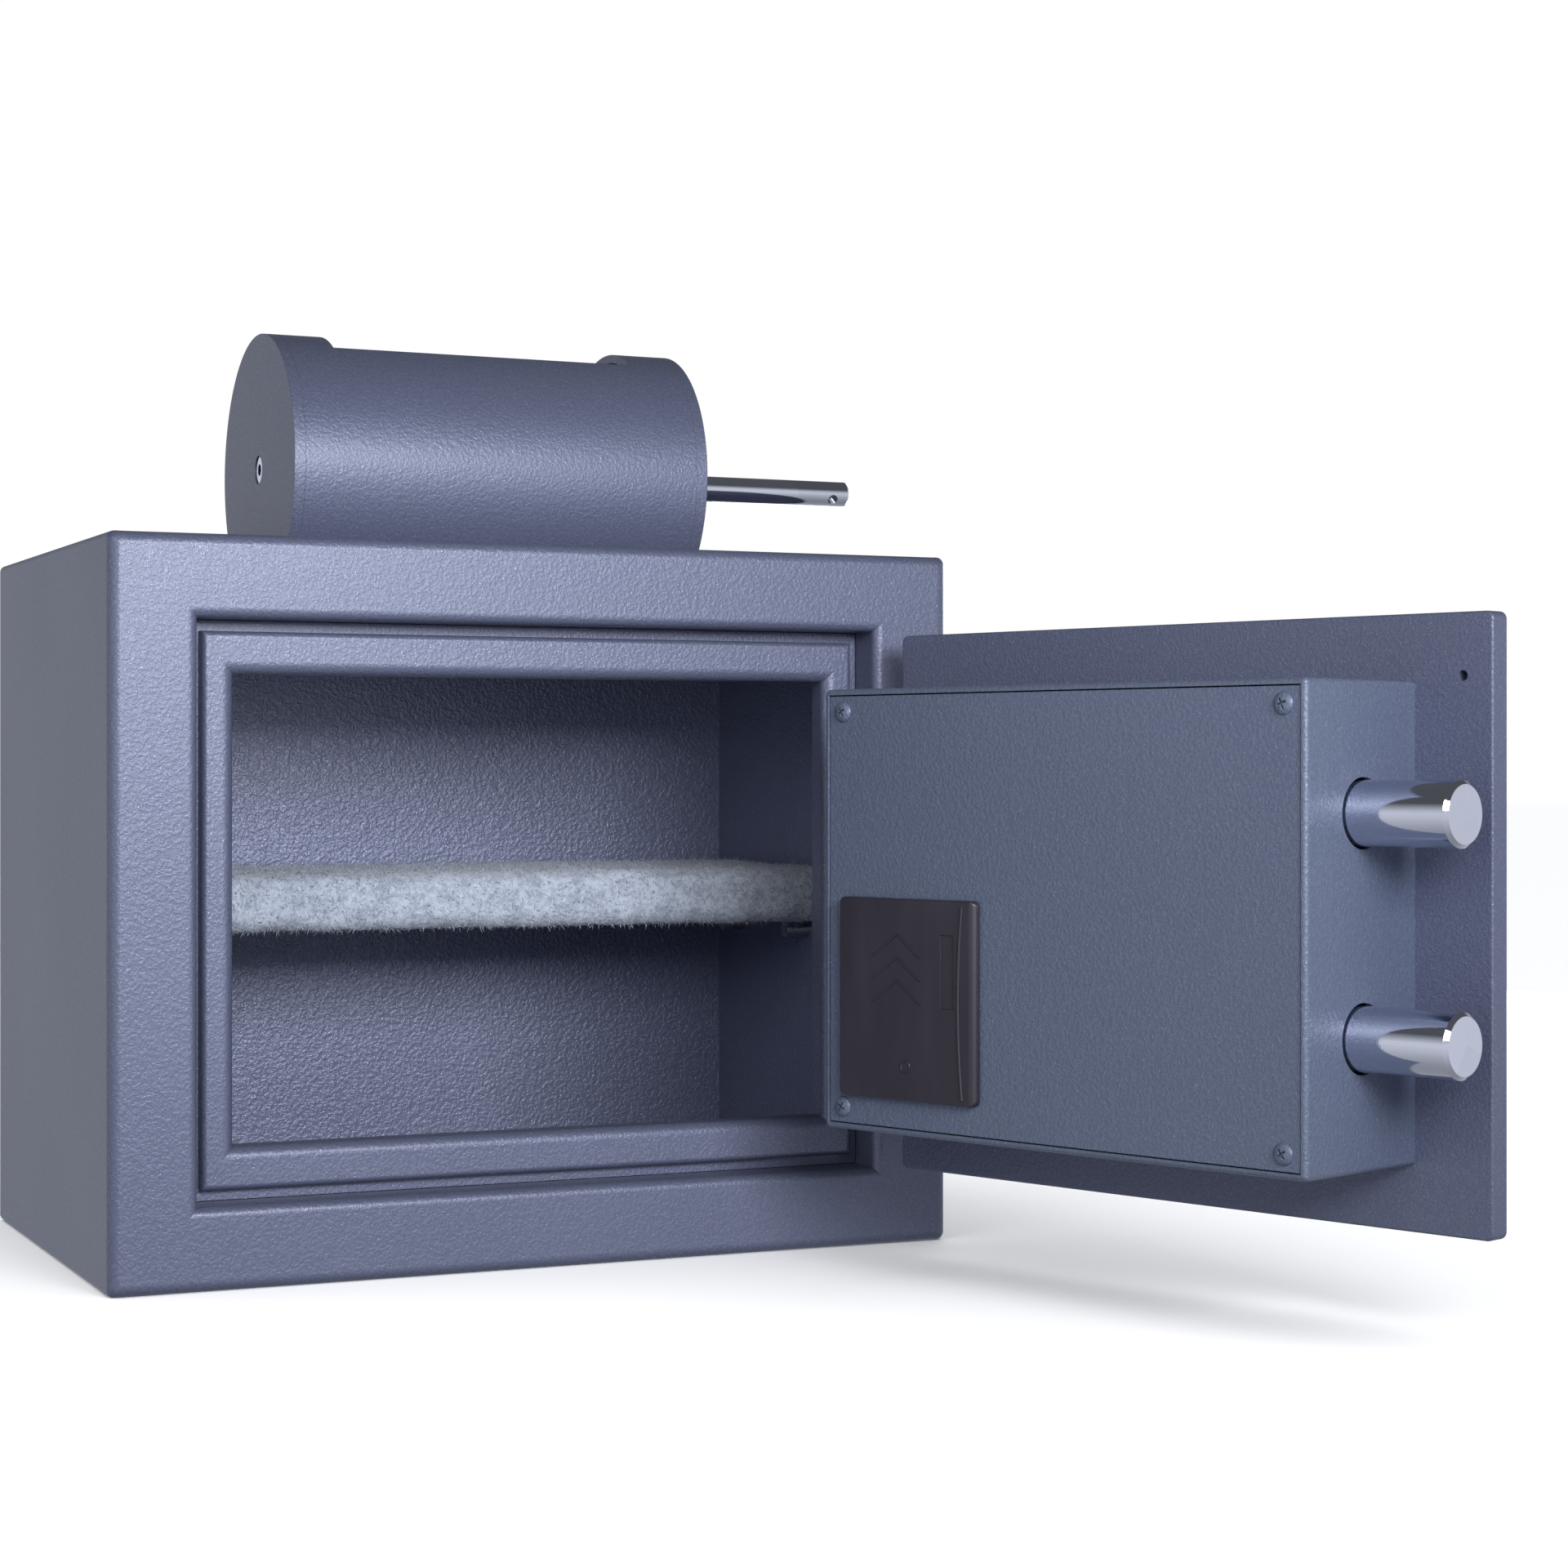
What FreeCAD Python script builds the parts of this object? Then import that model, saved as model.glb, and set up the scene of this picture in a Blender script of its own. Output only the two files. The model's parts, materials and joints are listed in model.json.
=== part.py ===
import FreeCAD, Part
import math
import os
import re
from FreeCAD import Placement, Rotation, Vector
import Sketcher

# Rotary deposit safe: a double-walled steel cabinet with a recessed door on its right-hand hinges,
# a carpeted shelf inside and a rotary deposit drum in a tube housing on the roof.
# Millimetres. Origin at the centre of the base, front towards -Y, +Z up.
# The door and all it carries are drawn closed and then turned about the hinge to their rest position.

sizes = {
    # cabinet
    "body_width": 380, "body_depth": 240, "body_height": 310, "wall": 16, "skin": 3, "liner_skin": 2,
    "front_round": 5, "long_round": 3, "weld_gap": 0.2,
    "frame_side": 36.5, "frame_top": 34.5, "frame_depth": 27, "backing_thick": 2, "recess_round": 4,
    "groove_depth": 20, "groove_width": 4.8, "landing_depth": 14, "landing_round": 2.5,
    "sill_side": 18.5, "sill_top": 22.5, "opening_round": 5,
    "strike_thick": 3.5, "strike_height": 150, "strike_lap": 2, "strike_screw_pitch": 60,
    "strike_screw_inset": 8, "strike_screw_sunk": 0.3,
    "anchor_radius": 6, "anchor_pitch_x": 220, "anchor_pitch_y": 110,
    # shelf
    "shelf_level": 140.5, "shelf_thick": 16, "pile": 5.5, "shelf_clearance": 3, "shelf_side_gap": 1,
    "shelf_rear_gap": 2, "board_gap": 0.3, "nose_round": 9, "stud_radius": 4, "stud_reach": 12,
    "stud_inset": 30, "stud_gap": 0.3,
    # deposit drum
    "drum_radius": 61, "drum_wall": 4, "drum_length": 194, "drum_rise": 38.5, "drum_end_thick": 5,
    "foot_gap": 0.5,
    "slot_length": 142, "slot_angle": 30, "outlet_angle": 38, "chute_wall": 2, "chute_gap": 0.6,
    "rotor_gap": 1, "rotor_wall": 2.5, "rotor_angle": 48, "rotor_end_thick": 3, "rotor_side_gap": 4,
    "shaft_radius": 6, "shaft_reach": 99, "shaft_chamfer": 0.8, "hub_radius": 14, "hub_thick": 3,
    "bush_wall": 3, "bush_flange": 2, "bush_step": 2.5, "bush_web": 1.5, "running_gap": 0.05,
    "press_gap": 0.02, "clip_thick": 1, "clip_radius": 8.5, "clip_groove": 0.5, "clip_stand": 0.3,
    "clip_slot": 2, "socket_radius": 2.6, "socket_depth": 5, "pivot_sunk": 0.5, "window_gap": 0.3,
    "cross_hole_radius": 2.5, "cross_hole_inset": 8.6, "cross_hole_tilt": 34,
    "stop_radius": 2.5, "stop_circle": 40, "stop_reach": 3,
    # door
    "open_angle": 110, "door_gap": 3, "door_thick": 10, "door_proud": 0.5, "door_corner": 3,
    "door_edge": 1, "peep_radius": 2, "peep_side": 13, "peep_top": 24, "peep_depth": 6,
    "barrel_radius": 5.5, "pin_radius": 3, "pin_floor": 2, "pin_headroom": 0.5, "knuckle": 22,
    "leaf_thick": 3, "leaf_width": 20, "pivot_side": 11, "pivot_front": 6, "hinge_pitch": 130,
    "washer_thick": 1, "washer_play": 0.02, "washer_step": 0.5, "strap_width": 26,
    # bolt-work casing
    "casing_hinge_margin": 21, "casing_free_margin": 34, "casing_height": 184, "casing_depth": 70,
    "casing_wall": 2.5, "casing_round": 2, "cover_thick": 2, "cover_inset": 0.6, "cover_seam": 0.5,
    "post_radius": 6, "screw_inset": 10.5, "screw_radius": 2, "screw_head_radius": 4.4,
    "screw_head_height": 1.8, "screw_depth": 10, "screw_hole_gap": 0.1, "screw_stem_lap": 0.5,
    "tap_depth": 12, "drive_reach": 2.2, "drive_half": 0.45, "drive_floor": 0.6,
    # bolts and their drive
    "bolt_radius": 12.5, "bolt_pitch": 84, "bolt_offset": 34, "bolt_projection": 44, "bolt_travel": 40,
    "bolt_chamfer": 1.5, "bolt_hole_gap": 1, "guide_thick": 6, "guide_reach": 52, "guide_margin": 6,
    "outer_guide_back": 30, "inner_guide_gap": 8, "bar_width": 20, "bar_thick": 8, "bar_overhang": 14,
    "bar_screw_head": 3.6, "bar_screw_head_thick": 2.5, "cam_pin_radius": 3, "cam_slot_gap": 1.1,
    "cam_slot_ends": 2, "cam_pin_sunk": 1,
    "cam_thick": 4, "cam_offset": 22, "knob_from_hinge": 150, "spindle_radius": 5, "hub_ring": 10,
    "tail_height": 12, "tail_drop": 30, "tail_length": 66, "notch_gap": 0.5, "notch_depth": 6.5,
    "lock_pin_radius": 4, "lock_pin_from_hinge": 103, "lock_pin_travel": 6, "lock_pin_length": 28,
    "lock_pin_gap": 1.2, "motor_width": 24, "motor_height": 42, "motor_front": 19, "motor_gap": 2,
    "knob_radius": 19, "knob_depth": 22, "knob_gap": 0.4, "knob_round": 2.5, "knob_collar_radius": 22,
    "knob_collar_thick": 3, "collar_gap": 1, "grip_count": 8, "grip_radius": 4, "grip_shift": 1.2,
    "grip_start": 4, "bush_outer": 9, "spindle_end_gap": 0.5,
    # battery unit on the casing cover
    "battery_margin": 12, "battery_low": 15, "battery_wide": 75, "battery_high": 82.5,
    "battery_cover_thick": 3.6, "battery_cover_gap": 0.3, "battery_ledge": 10, "battery_slide": 8,
    "battery_edge": 0.8, "battery_corner": 2.5, "battery_bow": 3, "finger_width": 7, "finger_low": 44,
    "finger_high": 14, "finger_depth": 0.7, "tongue_gap": 0.6, "tongue_reach": 1, "tray_margin": 4,
    "tray_depth": 21, "tray_wall": 1.5, "tray_gap": 0.2, "cell_radius": 7.1, "cell_length": 50,
    "cell_pitch": 14.6, "cell_lift": 0.2, "spring_radius": 4, "button_radius": 3, "contact_gap": 0.1,
    # keypad
    "keypad_from_hinge": 88, "keypad_rise": 25, "keypad_wide": 70, "keypad_high": 90,
    "keypad_thick": 14, "keypad_round": 6, "keypad_edge": 2, "membrane_thick": 0.8,
    "membrane_inset": 5, "membrane_side_gap": 0.2, "membrane_sunk": 0.1,
    "cable_hole_radius": 5, "cable_hole_along": 20, "cable_hole_rise": 25,
    "board_wide": 60, "board_high": 42, "board_thick": 1.6, "board_lift": 4,
    "board_along": 18, "board_rise": 22, "standoff_radius": 3, "standoff_inset": 5,
}

document = FreeCAD.newDocument("deposit_safe")
sheet = document.addObject("Spreadsheet::Sheet", "Sizes")
for line, (alias, number) in enumerate(sizes.items(), start=1):
    sheet.set("A%d" % line, alias)
    sheet.set("B%d" % line, str(number))
    sheet.setAlias("B%d" % line, alias)
document.recompute()

nodes = []                      # finished sub-parts, in order
word = re.compile(r"[a-z]+(?:_[a-z]+)*")


def cell(text):
    """The expression with every size's name turned into its cell."""
    return word.sub(lambda m: "Sizes." + m.group(0) if m.group(0) in sizes else m.group(0), str(text))


def bind(item, **values):
    for name, text in values.items():
        item.setExpression(name.replace("__", "."), cell(text))


def place(item, x="0", y="0", z="0"):
    bind(item, Placement__Base__x=x, Placement__Base__y=y, Placement__Base__z=z)


def add(kind, name):
    return document.addObject(kind, name + "_shape")


def box(name, x, y, z):
    """A block between two limits on each axis."""
    item = add("Part::Box", name)
    bind(item, Length="(%s)-(%s)" % (x[1], x[0]), Width="(%s)-(%s)" % (y[1], y[0]),
         Height="(%s)-(%s)" % (z[1], z[0]))
    place(item, x[0], y[0], z[0])
    return item


turns = {"X": Rotation(Vector(0, 1, 0), 90), "Y": Rotation(Vector(1, 0, 0), -90), "Z": Rotation()}


def rod(name, axis, radius, span, across):
    """A cylinder along an axis between two limits; across gives its centre on the other two axes."""
    item = add("Part::Cylinder", name)
    item.Placement = Placement(Vector(), turns[axis])
    bind(item, Radius=radius, Height="(%s)-(%s)" % (span[1], span[0]))
    centre = list(across)
    centre.insert("XYZ".index(axis), span[0])
    place(item, *centre)
    return item


def cut(name, base, *tools):
    for tool in tools:
        item = add("Part::Cut", name)
        item.Base = base
        item.Tool = tool
        base = item
    return base


def join(name, *parts):
    item = add("Part::MultiFuse", name)
    item.Shapes = list(parts)
    return item


def group(name, parts):
    item = add("Part::Compound", name)
    item.Links = list(parts)
    return item


def round_edges(name, base, choices):
    """Rounds the edges that each (radius, test) pair picks; test sees the edge's box."""
    document.recompute()
    item = add("Part::Fillet", name)
    item.Base = base
    picked = []
    for number, edge in enumerate(base.Shape.Edges, start=1):
        for radius, test in choices:
            if test(edge.BoundBox):
                picked.append((number, radius, radius))
                break
    item.Edges = picked
    return item


def node(name, item, placement=None):
    item.Label = name
    if placement is not None:
        item.Placement = placement.multiply(item.Placement)
    nodes.append(item)
    return item


# ---------- bodies made from sketches ----------

def new_body(name):
    return document.addObject("PartDesign::Body", name + "_body")


def sketch_on(body, role, offset):
    """A sketch on one of the body's own origin planes, moved by (across, up, along its normal)."""
    item = body.newObject("Sketcher::SketchObject", body.Name + "_sketch")
    plane = [feature for feature in body.Origin.OriginFeatures if feature.Role == role][0]
    item.AttachmentSupport = [(plane, "")]
    item.MapMode = "FlatFace"
    bind(item, AttachmentOffset__Base__x=offset[0], AttachmentOffset__Base__y=offset[1],
         AttachmentOffset__Base__z=offset[2])
    return item


def sketch_circle(body, role, radius, offset=("0", "0", "0")):
    item = sketch_on(body, role, offset)
    item.addGeometry(Part.Circle(Vector(0, 0, 0), Vector(0, 0, 1), 5))
    item.addConstraint(Sketcher.Constraint("Coincident", 0, 3, -1, 1))
    number = item.addConstraint(Sketcher.Constraint("Radius", 0, 5))
    item.setExpression("Constraints[%d]" % number, cell(radius))
    return item


def sketch_rectangle(body, role, wide, high, offset=("0", "0", "0")):
    """A rectangle centred on the sketch's origin."""
    item = sketch_on(body, role, offset)
    corners = [Vector(-9, -5), Vector(9, -5), Vector(9, 5), Vector(-9, 5)]
    for start in range(4):
        item.addGeometry(Part.LineSegment(corners[start], corners[(start + 1) % 4]))
    for start in range(4):
        item.addConstraint(Sketcher.Constraint("Coincident", start, 2, (start + 1) % 4, 1))
    item.addConstraint(Sketcher.Constraint("Horizontal", 0))
    item.addConstraint(Sketcher.Constraint("Horizontal", 2))
    item.addConstraint(Sketcher.Constraint("Vertical", 1))
    item.addConstraint(Sketcher.Constraint("Vertical", 3))
    item.addConstraint(Sketcher.Constraint("Symmetric", 0, 1, 2, 1, -1, 1))
    across = item.addConstraint(Sketcher.Constraint("DistanceX", 0, 1, 0, 2, 18))
    up = item.addConstraint(Sketcher.Constraint("DistanceY", 1, 1, 1, 2, 10))
    item.setExpression("Constraints[%d]" % across, cell(wide))
    item.setExpression("Constraints[%d]" % up, cell(high))
    return item


def pad(body, sketch, length):
    item = body.newObject("PartDesign::Pad", body.Name + "_pad")
    item.Profile = sketch
    bind(item, Length=length)
    return item


def pocket(body, sketch, length, along_normal=False):
    """A cut from the sketch, against its normal unless told otherwise; it has to take metal away."""
    document.recompute()
    before = body.Shape.Volume
    item = body.newObject("PartDesign::Pocket", body.Name + "_pocket")
    item.Profile = sketch
    item.Reversed = along_normal
    bind(item, Length=length)
    document.recompute()
    if body.Shape.Volume > before - 0.01:
        raise ValueError(body.Name + ": a pocket cuts nothing")
    return item


def dress(body, kind, amount, test):
    """A fillet or chamfer on the body's edges that the test picks by their boxes."""
    document.recompute()
    base = body.Tip
    names = ["Edge%d" % number for number, edge in enumerate(base.Shape.Edges, start=1)
             if test(edge.BoundBox)]
    item = body.newObject("PartDesign::" + kind, body.Name + "_" + kind.lower())
    item.Base = (base, names)
    bind(item, **{"Radius" if kind == "Fillet" else "Size": amount})
    document.recompute()
    return item


def near(value, target):
    return abs(value - target) < 0.01


def flat_at(box_of_edge, axis, target):
    """True when an edge lies wholly in the plane axis = target."""
    low = getattr(box_of_edge, axis + "Min")
    high = getattr(box_of_edge, axis + "Max")
    return near(low, target) and near(high, target)


# ---------- shared places, all from the sizes ----------

half_width = "body_width/2"
front = "-body_depth/2"
rear = "body_depth/2"
recess_x = "(body_width/2-frame_side)"
recess_low = "frame_top"
recess_high = "(body_height-frame_top)"
opening_x = "(body_width/2-frame_side-sill_side)"
opening_low = "(frame_top+sill_top)"
opening_high = "(body_height-frame_top-sill_top)"
frame_back = "(-body_depth/2+frame_depth)"
cavity_x = "(body_width/2-wall)"
cavity_rear = "(body_depth/2-wall)"
cavity_top = "(body_height-wall)"
drum_axis = "(body_height+drum_rise)"
saddle = "sqrt(drum_radius*drum_radius-drum_rise*drum_rise)"
mid = "body_height/2"
door_edge_x = "(%s-door_gap)" % recess_x
door_inner = "(%s-door_proud+door_thick)" % front
door_outer = "(%s-door_proud)" % front

front_y = -sizes["body_depth"] / 2
recess_edge_x = sizes["body_width"] / 2 - sizes["frame_side"]


def both(limit, extra="0"):
    """The two limits of something centred on zero."""
    return ("-(%s)-(%s)" % (limit, extra), "(%s)+(%s)" % (limit, extra))


# ---------- cabinet ----------

# Outer skin: folded wrap, front face and the return flange that lines the door recess.
wrap = box("wrap", both(half_width), (front, rear), ("0", "body_height"))
hollow = box("hollow", both(half_width, "-skin"), ("%s+skin" % front, rear), ("skin", "body_height-skin"))
flange = box("flange", both(recess_x, "skin"), (front, frame_back),
             ("%s-skin" % recess_low, "%s+skin" % recess_high))
recess = box("recess", both(recess_x), ("%s-1" % front, "%s+1" % frame_back), (recess_low, recess_high))
roof_cut = box("roof_cut", both("drum_length/2", "weld_gap"), both(saddle, "weld_gap"),
               ("body_height-skin-1", "body_height+1"))


def anchor_tools(name):
    tools = []
    for side in ("-", ""):
        for end in ("-", ""):
            tools.append(rod(name, "Z", "anchor_radius", ("-1", "wall+1"),
                             (side + "anchor_pitch_x/2", end + "anchor_pitch_y/2")))
    return join(name, *tools)


skin_solid = join("outer_skin", cut("outer_skin", wrap, hollow), flange)
skin_solid = cut("outer_skin", skin_solid, recess, roof_cut, anchor_tools("skin_anchor"))


def outer_front_edge(b):
    outside = (near(abs(b.XMin), sizes["body_width"] / 2) and near(abs(b.XMax), sizes["body_width"] / 2)) or \
        flat_at(b, "Z", 0) or flat_at(b, "Z", sizes["body_height"])
    return flat_at(b, "Y", front_y) and outside


def recess_front_edge(b):
    return flat_at(b, "Y", front_y) and abs(b.XMin) < recess_edge_x + 1 and abs(b.XMax) < recess_edge_x + 1


def long_edge(b):
    at_side = near(abs(b.XMin), sizes["body_width"] / 2) and near(b.XMin, b.XMax)
    at_level = flat_at(b, "Z", 0) or flat_at(b, "Z", sizes["body_height"])
    return at_side and at_level and b.YLength > sizes["body_depth"] / 2


node("outer_shell", round_edges("outer_shell", skin_solid, [
    (sizes["front_round"], outer_front_edge),
    (sizes["recess_round"], recess_front_edge),
    (sizes["long_round"], long_edge)]))

node("rear_panel", box("rear_panel", both(half_width, "-skin-weld_gap"), ("%s-skin" % rear, rear),
                       ("skin+weld_gap", "body_height-skin-weld_gap")))

# Hole through the roof that takes the lower part of the drum housing and its chute.
chute_x = "drum_length/2+chute_gap+chute_wall"
chute_y = "%s+chute_gap+chute_wall" % saddle


def chute_tool(name, extra):
    return box(name, both(chute_x, extra), both(chute_y, extra), ("%s-1" % cavity_top, "body_height"))


liner = box("liner", both(cavity_x, "liner_skin"), (frame_back, "%s+liner_skin" % cavity_rear),
            ("wall-liner_skin", "%s+liner_skin" % cavity_top))
cavity = box("cavity", both(cavity_x), ("%s-1" % frame_back, cavity_rear), ("wall", cavity_top))
node("inner_liner", cut("inner_liner", liner, cavity, chute_tool("liner_chute", "weld_gap"),
                        anchor_tools("liner_anchor")))

filling = box("filling", both(half_width, "-skin-weld_gap"),
              (frame_back, "%s-skin-weld_gap" % rear), ("skin+weld_gap", "body_height-skin-weld_gap"))
liner_space = box("liner_space", both(cavity_x, "liner_skin+weld_gap"),
                  ("%s-1" % frame_back, "%s+liner_skin+weld_gap" % cavity_rear),
                  ("wall-liner_skin-weld_gap", "%s+liner_skin+weld_gap" % cavity_top))
node("barrier_fill", cut("barrier_fill", filling, liner_space, chute_tool("fill_chute", "weld_gap"),
                         anchor_tools("fill_anchor")))

flange_space = ("%s-skin-weld_gap" % recess_low, "%s+skin+weld_gap" % recess_high)
inner_height = ("skin+weld_gap", "body_height-skin-weld_gap")
backing_front = "(%s-backing_thick)" % frame_back
ring = box("frame_fill", both(half_width, "-skin-weld_gap"),
           ("%s+skin+weld_gap" % front, "%s-weld_gap" % backing_front), inner_height)
ring_hole = box("frame_fill_hole", both(recess_x, "skin+weld_gap"), (front, frame_back), flange_space)
node("frame_fill", cut("frame_fill", ring, ring_hole))

plate = box("backing", both(half_width, "-skin-weld_gap"), (backing_front, frame_back), inner_height)
plate_hole = box("backing_hole", both(recess_x, "skin+weld_gap"),
                 ("%s-1" % backing_front, "%s+1" % frame_back), flange_space)
node("frame_backing", cut("frame_backing", plate, plate_hole))

# Door stop: a rim round the opening, with a groove between it and the wall of the recess.
stop = box("stop", both(recess_x, "-weld_gap"), ("%s+landing_depth" % front, frame_back),
           ("%s+weld_gap" % recess_low, "%s-weld_gap" % recess_high))
stop_hole = box("stop_hole", both(opening_x), ("%s+1" % front, "%s+1" % frame_back),
                (opening_low, opening_high))
groove_outer = box("groove_outer", both(recess_x, "1"), ("%s+landing_depth-1" % front,
                   "%s+groove_depth" % front), ("%s-1" % recess_low, "%s+1" % recess_high))
groove_inner = box("groove_inner", both(recess_x, "-groove_width"), (front, frame_back),
                   ("%s+groove_width" % recess_low, "%s-groove_width" % recess_high))
stop_solid = cut("stop_rim", stop, stop_hole, cut("groove", groove_outer, groove_inner))
landing_y = front_y + sizes["landing_depth"]
opening_edge_x = recess_edge_x - sizes["sill_side"]


def rim_edge(outer):
    def test(b):
        if not flat_at(b, "Y", landing_y):
            return False
        reach = max(abs(b.XMin), abs(b.XMax))
        return (reach > opening_edge_x + 1) == outer
    return test


node("door_stop_rim", round_edges("door_stop_rim", stop_solid, [
    (sizes["landing_round"], rim_edge(True)), (sizes["opening_round"], rim_edge(False))]))

# Hardened strike behind the left side of the frame, where the bolts bear.
strike_x = ("-%s" % cavity_x, "-%s-strike_lap" % opening_x)
strike_span = (frame_back, "%s+strike_thick" % frame_back)
strike = box("strike", strike_x, strike_span, ("%s-strike_height/2" % mid,
             "%s+strike_height/2" % mid))
strike_screw_x = "-%s-strike_lap-strike_screw_inset" % opening_x
screw_tools = []
strike_screws = []
for level in ("-", "+"):
    for tier in ("1", "0"):
        height = "%s%s(strike_screw_pitch/2+%s*strike_screw_pitch/2)" % (mid, level, tier)
        screw_tools.append(rod("strike_hole", "Y", "screw_radius+press_gap",
                               ("%s-1" % frame_back, "%s+strike_thick+1" % frame_back),
                               (strike_screw_x, height)))
        strike_screws.append(rod("strike_screw", "Y", "screw_radius",
                                 (frame_back, "%s+strike_thick-strike_screw_sunk" % frame_back),
                                 (strike_screw_x, height)))
node("bolt_strike", cut("bolt_strike", strike, *screw_tools))
node("strike_screws", group("strike_screws", strike_screws))

# ---------- shelf ----------

# The shelf stops short of the door's casing and battery cover.
shelf_front = "(%s+casing_depth+battery_cover_thick+shelf_clearance)" % door_inner
shelf_front_y = (front_y - sizes["door_proud"] + sizes["door_thick"] + sizes["casing_depth"]
                 + sizes["battery_cover_thick"] + sizes["shelf_clearance"])
shelf_rear = "(%s-shelf_rear_gap)" % cavity_rear
board_low = "(shelf_level+pile)"
board_high = "(shelf_level+pile+shelf_thick)"
node("shelf_board", box("shelf_board", both(cavity_x, "-shelf_side_gap-board_gap"),
                        ("%s+pile+board_gap" % shelf_front, shelf_rear),
                        ("%s+board_gap" % board_low, "%s-board_gap" % board_high)))
carpet = box("carpet", both(cavity_x, "-shelf_side_gap"), (shelf_front, shelf_rear),
             ("shelf_level", "%s+pile" % board_high))
carpet = round_edges("carpet", carpet, [
    (sizes["nose_round"], lambda b: flat_at(b, "Y", shelf_front_y) and b.XLength > b.ZLength)])
board_space = box("board_space", both(cavity_x, "1"), ("%s+pile" % shelf_front, "%s+1" % shelf_rear),
                  (board_low, board_high))
node("shelf_carpet", cut("shelf_carpet", carpet, board_space))
studs = []
for side in (-1, 1):
    for depth in ("%s+stud_inset" % shelf_front, "%s-stud_inset" % shelf_rear):
        reach = ["%s-stud_reach" % cavity_x, cavity_x]
        if side < 0:
            reach = ["-%s" % reach[1], "-(%s)" % reach[0]]
        studs.append(rod("shelf_stud", "X", "stud_radius", reach,
                         (depth, "shelf_level-stud_radius-stud_gap")))
node("shelf_studs", group("shelf_studs", studs))

# ---------- deposit drum housing ----------

tube_end = "(drum_length/2-drum_end_thick)"
axis_at = ("0", drum_axis)
chute_outer = box("chute_outer", both(chute_x), both(chute_y), (cavity_top, "body_height-skin-weld_gap"))
chute_inner = box("chute_inner", both(chute_x, "-chute_wall"), both(chute_y, "-chute_wall"),
                  ("%s-1" % cavity_top, "body_height"))
node("roof_chute", cut("roof_chute", chute_outer, chute_inner))

tube = rod("tube", "X", "drum_radius", both(tube_end), axis_at)
bore = rod("tube_bore", "X", "drum_radius-drum_wall", both(tube_end, "1"), axis_at)
top_slot = box("top_slot", both("slot_length/2"), both("drum_radius*sin(slot_angle)"),
               (drum_axis, "%s+drum_radius+1" % drum_axis))
outlet = box("outlet", both(tube_end, "1"), both("drum_radius*sin(outlet_angle)"),
             ("%s-drum_radius-1" % drum_axis, drum_axis))
node("drum_housing", cut("drum_housing", tube, bore, top_slot, outlet))

foot = "(%s+foot_gap)" % cavity_top


def housing_end(name, start, bores):
    """A disc that closes the housing, cut flat below the roof, with the bores for its bush."""
    body = new_body(name)
    # YZ sketches face +X: across is Y, up is Z
    disc = sketch_circle(body, "YZ_Plane", "drum_radius", ("0", drum_axis, start))
    pad(body, disc, "drum_end_thick")
    top = "(%s-drum_radius)" % drum_axis
    chord = sketch_rectangle(body, "YZ_Plane", "drum_radius*2", "(%s-%s)*2" % (foot, top),
                             ("0", top, start))
    pocket(body, chord, "drum_end_thick", along_normal=True)
    for radius, begin, depth in bores:
        seat = sketch_circle(body, "YZ_Plane", radius, ("0", drum_axis, begin))
        pocket(body, seat, depth, along_normal=True)
    return body


bush_radius = "shaft_radius+bush_wall"
bush_seat = bush_radius + "+press_gap"
shaft_bore = "shaft_radius+running_gap"
node("housing_end_left", housing_end("housing_end_left", "-drum_length/2", [
    ("shaft_radius+window_gap", "-drum_length/2", "bush_web"),
    (bush_seat, "-drum_length/2+bush_web", "drum_end_thick-bush_web")]))
node("housing_end_right", housing_end("housing_end_right", tube_end, [
    (bush_seat, tube_end, "drum_end_thick")]))
bush_left = rod("bush_left", "X", bush_radius, ("-drum_length/2+bush_web", "-%s" % tube_end), axis_at)
node("drum_bush_left", cut("drum_bush_left", bush_left, rod(
    "bush_left_bore", "X", shaft_bore, ("-drum_length/2", "0"), axis_at)))
bush_right = rod("bush_right", "X", bush_radius, (tube_end, "drum_length/2"), axis_at)
bush_right_flange = rod("bush_right_flange", "X", bush_radius + "+bush_step",
                        ("drum_length/2", "drum_length/2+bush_flange"), axis_at)
node("drum_bush_right", cut("drum_bush_right", join("bush_right", bush_right, bush_right_flange), rod(
    "bush_right_bore", "X", shaft_bore, ("0", "drum_length"), axis_at)))
node("housing_stop_pin", rod("housing_stop_pin", "X", "stop_radius", (
    "%s-stop_reach" % tube_end, tube_end), ("-stop_circle", drum_axis)))

# ---------- rotor ----------

rotor_radius = "(drum_radius-drum_wall-rotor_gap)"
rotor_out = "(%s-rotor_side_gap)" % tube_end
rotor_in = "(%s-rotor_side_gap-rotor_end_thick)" % tube_end
scoop = rod("scoop", "X", rotor_radius, both(rotor_in), axis_at)
scoop_bore = rod("scoop_bore", "X", rotor_radius + "-rotor_wall", both(rotor_in, "1"), axis_at)
scoop_mouth = box("scoop_mouth", both(rotor_in, "1"), both("drum_radius"),
                  ("%s+%s*cos(rotor_angle)" % (drum_axis, rotor_radius), "%s+drum_radius" % drum_axis))
node("rotor_scoop", cut("rotor_scoop", scoop, scoop_bore, scoop_mouth))
for side, name in ((-1, "rotor_end_left"), (1, "rotor_end_right")):
    span = (rotor_in, rotor_out) if side > 0 else ("-" + rotor_out, "-" + rotor_in)
    disc = rod(name, "X", rotor_radius, span, axis_at)
    hole = rod(name + "_bore", "X", "shaft_radius+press_gap", both("drum_length"), axis_at)
    node(name, cut(name, disc, hole))

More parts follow.
